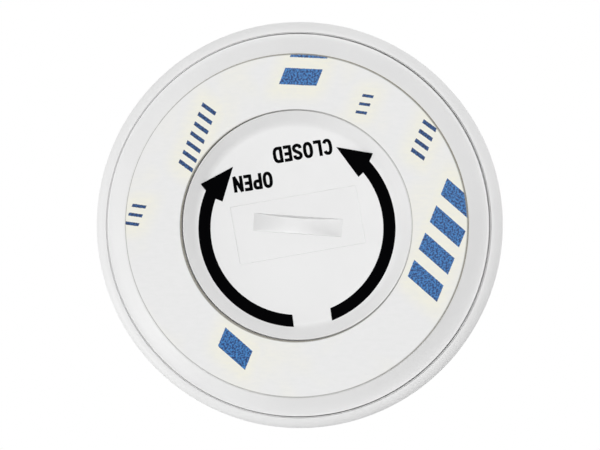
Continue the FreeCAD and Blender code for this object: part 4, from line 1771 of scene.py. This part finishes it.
@dataclass
class DoorPrint:
    """The two arrows and two words that say how the door turns."""

    door: BatteryDoor
    centre: Flat = (-0.10, -0.44)
    inner: float = 12.75
    outer: float = 14.55
    lift: float = 0.012
    sink: float = 0.01
    grid: float = 0.35
    band_step: float = 2.0
    stroke: float = 0.49
    letter_gap: float = 0.19
    sharp_angle: float = 50.0
    arrows: Tuple[Arrow, ...] = (
        Arrow(
            "open_arrow", -93.0, -91.7,
            (-13.50, 5.07), (-14.28, 6.07), (-9.51, 8.64), (-11.08, 3.49), (-11.90, 3.83),
        ),
        Arrow(
            "closed_arrow", -67.3, -69.1,
            (10.68, 9.48), (11.12, 10.58), (5.71, 11.51), (8.99, 7.10), (9.53, 7.64),
        ),
    )
    words: Tuple[Word, ...] = (
        Word("open_word", "OPEN", (-6.58, 6.36), 188.4),
        Word("closed_word", "CLOSED", (0.73, 10.94), 189.4),
    )
    finish: Finish = PadInk("door_ink")

    def angle_of(self, place: Flat) -> float:
        """The angle of a place about the print's centre."""
        return math.degrees(math.atan2(place[1] - self.centre[1], place[0] - self.centre[0]))

    def band(self, start: float, end: float, radius: float) -> List[Flat]:
        """Places along one edge of an arrow's band.

        Args:
            start: The first angle.
            end: The last angle.
            radius: The edge's radius.

        Returns:
            The places, about one step apart.
        """
        steps = max(int(abs(end - start) / self.band_step), 1)
        places = [polar(radius, start + (end - start) * index / steps) for index in range(steps + 1)]
        return [(self.centre[0] + x, self.centre[1] + z) for x, z in places]

    def outline(self, arrow: Arrow) -> List[Flat]:
        """Work out the whole outline of an arrow.

        Args:
            arrow: The arrow.

        Returns:
            Its places in order.
        """
        back = 360 if arrow.tip[0] < 0 else 0
        outer_end = self.angle_of(arrow.neck_outer) - back
        inner_end = self.angle_of(arrow.neck_inner) - back
        outer = self.band(arrow.tail_outer, outer_end, self.outer)
        inner = self.band(inner_end, arrow.tail_inner, self.inner)
        return outer + [arrow.barb_outer, arrow.tip, arrow.barb_inner] + inner

    def draped(self, name: str, outlines: Sequence[Sequence[Flat]], loose: Sequence[Vector] = ()) -> None:
        """Lay a flat figure on the door's face as a thin closed solid.

        Args:
            name: The piece's name.
            outlines: The figure's outlines. It covers all that lies inside one of them.
            loose: Places inside it that let it follow the face.
        """
        edges = [[Vector(place) for place in outline] for outline in outlines]
        spots, faces, _ = divided(edges, loose, lambda spot: any(within(spot, edge) for edge in edges))
        shape = Shape()
        for offset in (-self.lift, self.sink):
            for x, z in spots:
                radius = math.hypot(x - self.door.play[0], z - self.door.play[1])
                shape.points.append((x, self.door.face_at(radius) + offset, z))
        count = len(spots)
        for face in faces:
            shape.faces += [list(face), [count + index for index in reversed(face)]]
        sides = {(face[index - 1], face[index]) for face in faces for index in range(len(face))}
        for first, last in sorted(sides):
            if (last, first) not in sides:
                shape.faces.append([last, first, count + first, count + last])
        piece = shape.mesh(name)
        piece.data.set_sharp_from_angle(angle=math.radians(self.sharp_angle))
        dressed(piece, self.finish, "door", "door_plastic")

    def arrow(self, arrow: Arrow) -> None:
        """Lay one arrow, with enough places inside it to follow the dish.

        Args:
            arrow: The arrow.
        """
        outline = self.outline(arrow)
        edge = [Vector(place) for place in outline]
        reach = int(self.door.radius / self.grid)
        lines = range(-reach, reach + 1)
        grid = [Vector((column * self.grid, row * self.grid)) for column in lines for row in lines]
        self.draped(arrow.name, [outline], [spot for spot in grid if within(spot, edge)])

    def word(self, word: Word) -> None:
        """Lay one word, letter by letter, from strokes of one width.

        Args:
            word: The word.
        """
        letters = [ALPHABET[letter] for letter in word.letters]
        start = -(sum(letter.width for letter in letters) + self.letter_gap * (len(letters) - 1)) / 2
        outlines = []
        for letter in letters:
            middle = start + letter.width / 2
            for stroke in letter.strokes:
                line = ribbon([(middle + x, z) for x, z in stroke], self.stroke)
                outlines.append([(word.centre[0] + x, word.centre[1] + z) for x, z in swung(line, word.turn)])
            start += letter.width + self.letter_gap
        self.draped(word.name, outlines)

    def dress(self) -> None:
        """Lay the arrows and the words."""
        for arrow in self.arrows:
            self.arrow(arrow)
        for word in self.words:
            self.word(word)


# Adhesive ring
@dataclass
class AdhesiveRing:
    """The foam tape ring and the printed liner over it."""

    inner_radius: float = 17.0
    outer_radius: float = 25.25
    liner_thickness: float = 0.12
    pad_end: float = 0.76
    paper_round: float = 0.03
    foam_round: float = 0.04
    liner_inset: float = 0.06
    liner_play: Flat = (-0.11, -0.08)
    round_steps: int = 4
    rows: Tuple[MarkRow, ...] = (
        MarkRow(Tone.BOLD, 68.0, -20.6, 6.0, 4, 4.3, 2.6, 5.4, 0.35),
        MarkRow(Tone.BOLD, 68.0, 7.6, 22.6, 2, 4.3, 2.6, 5.2, -0.35),
        MarkRow(Tone.BOLD, 68.0, 1.6, -20.2, 1, 4.3, 3.0, 5.0, 0.35),
        MarkRow(Tone.FINE, 68.0, 18.4, 6.5, 7, 1.5, 0.6, 2.4, 0.25),
        MarkRow(Tone.FINE, 68.0, 22.6, -7.5, 3, 1.4, 0.5, 2.0, -0.25),
        MarkRow(Tone.FINE, 68.0, -12.6, 18.6, 4, 1.5, 0.6, 2.3, 0.25),
        MarkRow(Tone.FINE, 68.0, -2.6, 20.2, 3, 1.3, 0.45, 1.6, -0.25),
    )

    def band(self, name: str, low: float, high: float, size: float, inset: float = 0.0) -> bpy.types.Object:
        """Turn a flat ring with softened edges.

        Args:
            name: The piece's name.
            low: Its outer face's depth.
            high: Its inner face's depth.
            size: How far its edges are rounded.
            inset: How far its edges stay inside the tape's.

        Returns:
            The ring.
        """
        shape = Shape()
        shape.turned(soften([
            Corner(self.inner_radius + inset, low, size),
            Corner(self.outer_radius - inset, low, size),
            Corner(self.outer_radius - inset, high, size),
            Corner(self.inner_radius + inset, high, size),
        ], self.round_steps))
        return shape.mesh(name)

    def dress(self) -> None:
        """Build the two rings and put them in the places of their nodes."""
        liner = self.band("liner_sheet", 0.0, self.liner_thickness, self.paper_round, self.liner_inset)
        shifted(liner, self.liner_play)
        inner, outer = self.inner_radius + self.liner_inset, self.outer_radius - self.liner_inset
        paper = PrintedLiner("liner_print", self.rows, inner, outer, self.liner_play)
        dressed(liner, paper, "housing", "liner_paper", "release_liner")
        pad = self.band("foam_ring", self.liner_thickness, self.pad_end, self.foam_round)
        dressed(pad, Foam("foam_grey_painted_shade"), "housing", "foam_tape", "adhesive_pad")


# Parts inside the case
@dataclass
class Internals:
    """The parts inside, which keep their own solids and get their finishes."""

    finishes: Dict[str, Finish] = field(default_factory=lambda: {
        "cell_can": Metal("cell_nickel", "C3C4C4", 0.28, (1.0, 8.0, 1.0)),
        "cell_gasket": Moulded("gasket_grey", "3B3C3E", 0.55),
        "cell_cap": Metal("cap_nickel", "BDBEC0", 0.24, (8.0, 1.0, 1.0)),
        "battery_holder": Moulded("holder_black", "242527", 0.5, 0.12, 0.006),
        "positive_contacts": Metal("contact_gold", "D9B45E", 0.22, (1.0, 10.0, 1.0), "A88442"),
        "negative_contact": Metal("contact_gold_leaf", "D9B45E", 0.22, (10.0, 1.0, 1.0), "A88442"),
        "main_board": Laminate("board_green"),
        "board_screws": Metal("screw_zinc", "AEB0B2", 0.3, (1.0, 1.0, 1.0), "8A8C8E"),
        "humidity_sensor": Grainy("sensor_package", "1C1D20", "3B3D42", 0.42, 0.08),
        "vent_membrane": Woven("membrane_white"),
        "status_led": Grainy("lamp_resin", "E6DFA6", "F4EFC8", 0.3, 0.1),
        "light_pipe": Clear("light_pipe_clear"),
        "switch_body": Grainy("switch_case", "2A2B2E", "44464A", 0.5, 0.12),
        "switch_plunger": Moulded("plunger_grey", "6F7276", 0.5, 0.1),
        "radio_board": Laminate("radio_board_blue", "1B3F73", "28569A"),
        "radio_chip": Grainy("radio_chip_epoxy", "18191B", "36383C", 0.45, 0.07),
        "radio_shield": Metal("shield_tin", "C6C8CA", 0.34, (1.0, 1.0, 10.0)),
        "chip_antenna": Grainy("antenna_ceramic", "E2DED2", "CFC9B8", 0.55, 0.12),
        "crystal": Metal("crystal_can", "C9CACC", 0.26, (6.0, 1.0, 1.0)),
        "flash_memory": Grainy("memory_epoxy", "1A1B1D", "3A3C40", 0.5, 0.07),
        "tantalum_capacitor": Grainy("tantalum_resin", "C98A2B", "DDA74E", 0.4, 0.1),
        "inductor": Grainy("inductor_ferrite", "3A3B3E", "5C5E62", 0.6, 0.1),
        "ceramic_capacitors": EndCapped("capacitor_ceramic", "B48A5A", -10.5),
        "chip_resistors": EndCapped("resistor_ceramic", "2B2C2F", -6.5),
    })

    def dress(self, nodes: Dict[str, bpy.types.Object]) -> None:
        """Give each inner node its finish.

        Args:
            nodes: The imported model's nodes by name.
        """
        for name, finish in self.finishes.items():
            material = finish.material()
            for slot in nodes[name].material_slots:
                slot.material = material
            log.info("%s is finished as %s", name, finish.name)


# Studio
@dataclass(frozen=True)
class Lamp:
    """A soft square lamp that faces the sensor.

    Its angle tells its side as seen from the back, its lean how far off the sensor's axis it stands.
    """

    name: str
    angle: float
    lean: float
    away: float
    size: float
    power: float

    def build(self) -> None:
        """Add the lamp."""
        data = bpy.data.lights.new(self.name, "AREA")
        data.shape = "SQUARE"
        data.size = self.size * MM
        data.energy = self.power
        lean = math.radians(self.lean)
        across, up = polar(math.sin(lean), self.angle)
        way = Vector((across, -math.cos(lean), up))
        aimed(self.name, data, way * self.away, way)


def aimed(name: str, data: bpy.types.ID, place: Vector, way: Vector) -> bpy.types.Object:
    """Put a lamp or a camera somewhere, so that it looks against a direction.

    Args:
        name: The object's name.
        data: The lamp or the camera.
        place: Its place in millimetres.
        way: The direction from what it looks at to itself.

    Returns:
        The object.
    """
    holder = bpy.data.objects.new(name, data)
    bpy.context.scene.collection.objects.link(holder)
    holder.location = place * MM
    holder.rotation_mode = "QUATERNION"
    holder.rotation_quaternion = (-way).to_track_quat("-Z", "Y")
    return holder


@dataclass
class Studio:
    """The pale floor, the white surroundings, the soft lamps and the camera."""

    azimuth: float = 3.5
    elevation: float = 0.4
    distance: float = 600.0
    frame_width: float = 88.66
    aim: Point = (0.25, 3.9, 0.02)
    floor_height: float = -50.0
    floor_radius: float = 130.0
    floor_place: Flat = (20.0, 80.0)
    floor_rings: int = 4
    fade_rim: float = 5.0
    fade_start: float = 0.45
    paper: str = "F7F7F7"
    paper_roughness: float = 0.9
    paper_gloss: float = 0.1
    paper_grain: float = 1.0
    paper_relief: float = 0.02
    front_light: float = 1.0
    back_light: float = 0.11
    back_end: float = -0.45
    front_start: float = 0.05
    sensor_width: float = 36.0
    clip: Flat = (0.01, 100.0)
    white_rays: Tuple[str, ...] = ("Camera", "Glossy", "Transmission")
    lamps: Tuple[Lamp, ...] = (
        Lamp("front_lamp", 62.0, 9.0, 900.0, 300.0, 4.7),
        Lamp("key_lamp", 212.0, 66.0, 700.0, 480.0, 1.8),
        Lamp("top_lamp", 48.0, 52.0, 800.0, 350.0, 0.6),
    )

    def camera(self) -> None:
        """Set up the camera at the picture's angle."""
        data = bpy.data.cameras.new("camera")
        data.sensor_width = self.sensor_width
        data.lens = self.sensor_width * self.distance / self.frame_width
        data.clip_start, data.clip_end = self.clip
        turn = math.radians(self.azimuth)
        rise = math.radians(self.elevation)
        back = Vector((math.sin(turn) * math.cos(rise), -math.cos(turn) * math.cos(rise), math.sin(rise)))
        place = Vector(self.aim) + back * self.distance
        bpy.context.scene.camera = aimed("camera", data, place, back)

    def surroundings(self) -> None:
        """Light the sensor from all round, and show white wherever that is seen or mirrored."""
        world = bpy.data.worlds.new("surroundings")
        bpy.context.scene.world = world
        sheet = Sheet(world, "ShaderNodeOutputWorld")
        rays = [sheet.node("ShaderNodeLightPath", output=f"Is {kind} Ray") for kind in self.white_rays]
        white = rays[0].most(rays[1]).most(rays[2])
        depth = sheet.part(sheet.place("Generated"), "Y")
        light = depth.ramp(self.back_end, self.front_start, self.back_light, self.front_light)
        limits = {"Value": white, "To Min": light, "To Max": 1.0}
        strength = sheet.node("ShaderNodeMapRange", {}, limits)
        sheet.surface({"Color": "FFFFFF", "Strength": strength}, "ShaderNodeBackground")

    def floor(self) -> None:
        """Lay the pale floor, which fades into the white round it."""
        x, y = self.floor_place
        shape = Shape()
        rings = []
        for number in range(self.floor_rings + 1):
            radius = self.floor_radius * number / self.floor_rings
            places = [polar(radius, index * 360 / SEGMENTS) for index in range(SEGMENTS if number else 1)]
            rings.append(shape.row([(x + right, y + back, self.floor_height) for right, back in places]))
        shape.bridge(*rings)
        floor = shape.mesh("floor")
        sheet = Sheet(bpy.data.materials.new("floor_paper"))
        distance = sheet.radius("XY", self.floor_place)
        fade = distance.ramp(self.floor_radius - self.fade_rim, self.fade_start * self.floor_radius)
        sheet.surface({
            "Base Color": self.paper,
            "Roughness": self.paper_roughness,
            "Specular IOR Level": self.paper_gloss,
            "Alpha": fade,
            "Normal": sheet.bump(sheet.noise(self.paper_grain), self.paper_relief),
        })
        floor.data.materials.append(sheet.owner)

    def build(self) -> None:
        """Put the whole studio up."""
        self.camera()
        for lamp in self.lamps:
            lamp.build()
        self.surroundings()
        self.floor()
        bpy.context.scene.view_settings.view_transform = "Standard"


def main() -> None:
    """Dress the whole sensor."""
    logging.basicConfig(level=logging.INFO, format="%(name)s: %(message)s")
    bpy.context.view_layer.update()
    Studio().build()
    FrontShell().dress()
    RearCover().dress()
    door = BatteryDoor()
    door.dress()
    DoorPrint(door).dress()
    AdhesiveRing().dress()
    Internals().dress(frame["nodes"])


if __name__ == "__main__":
    main()
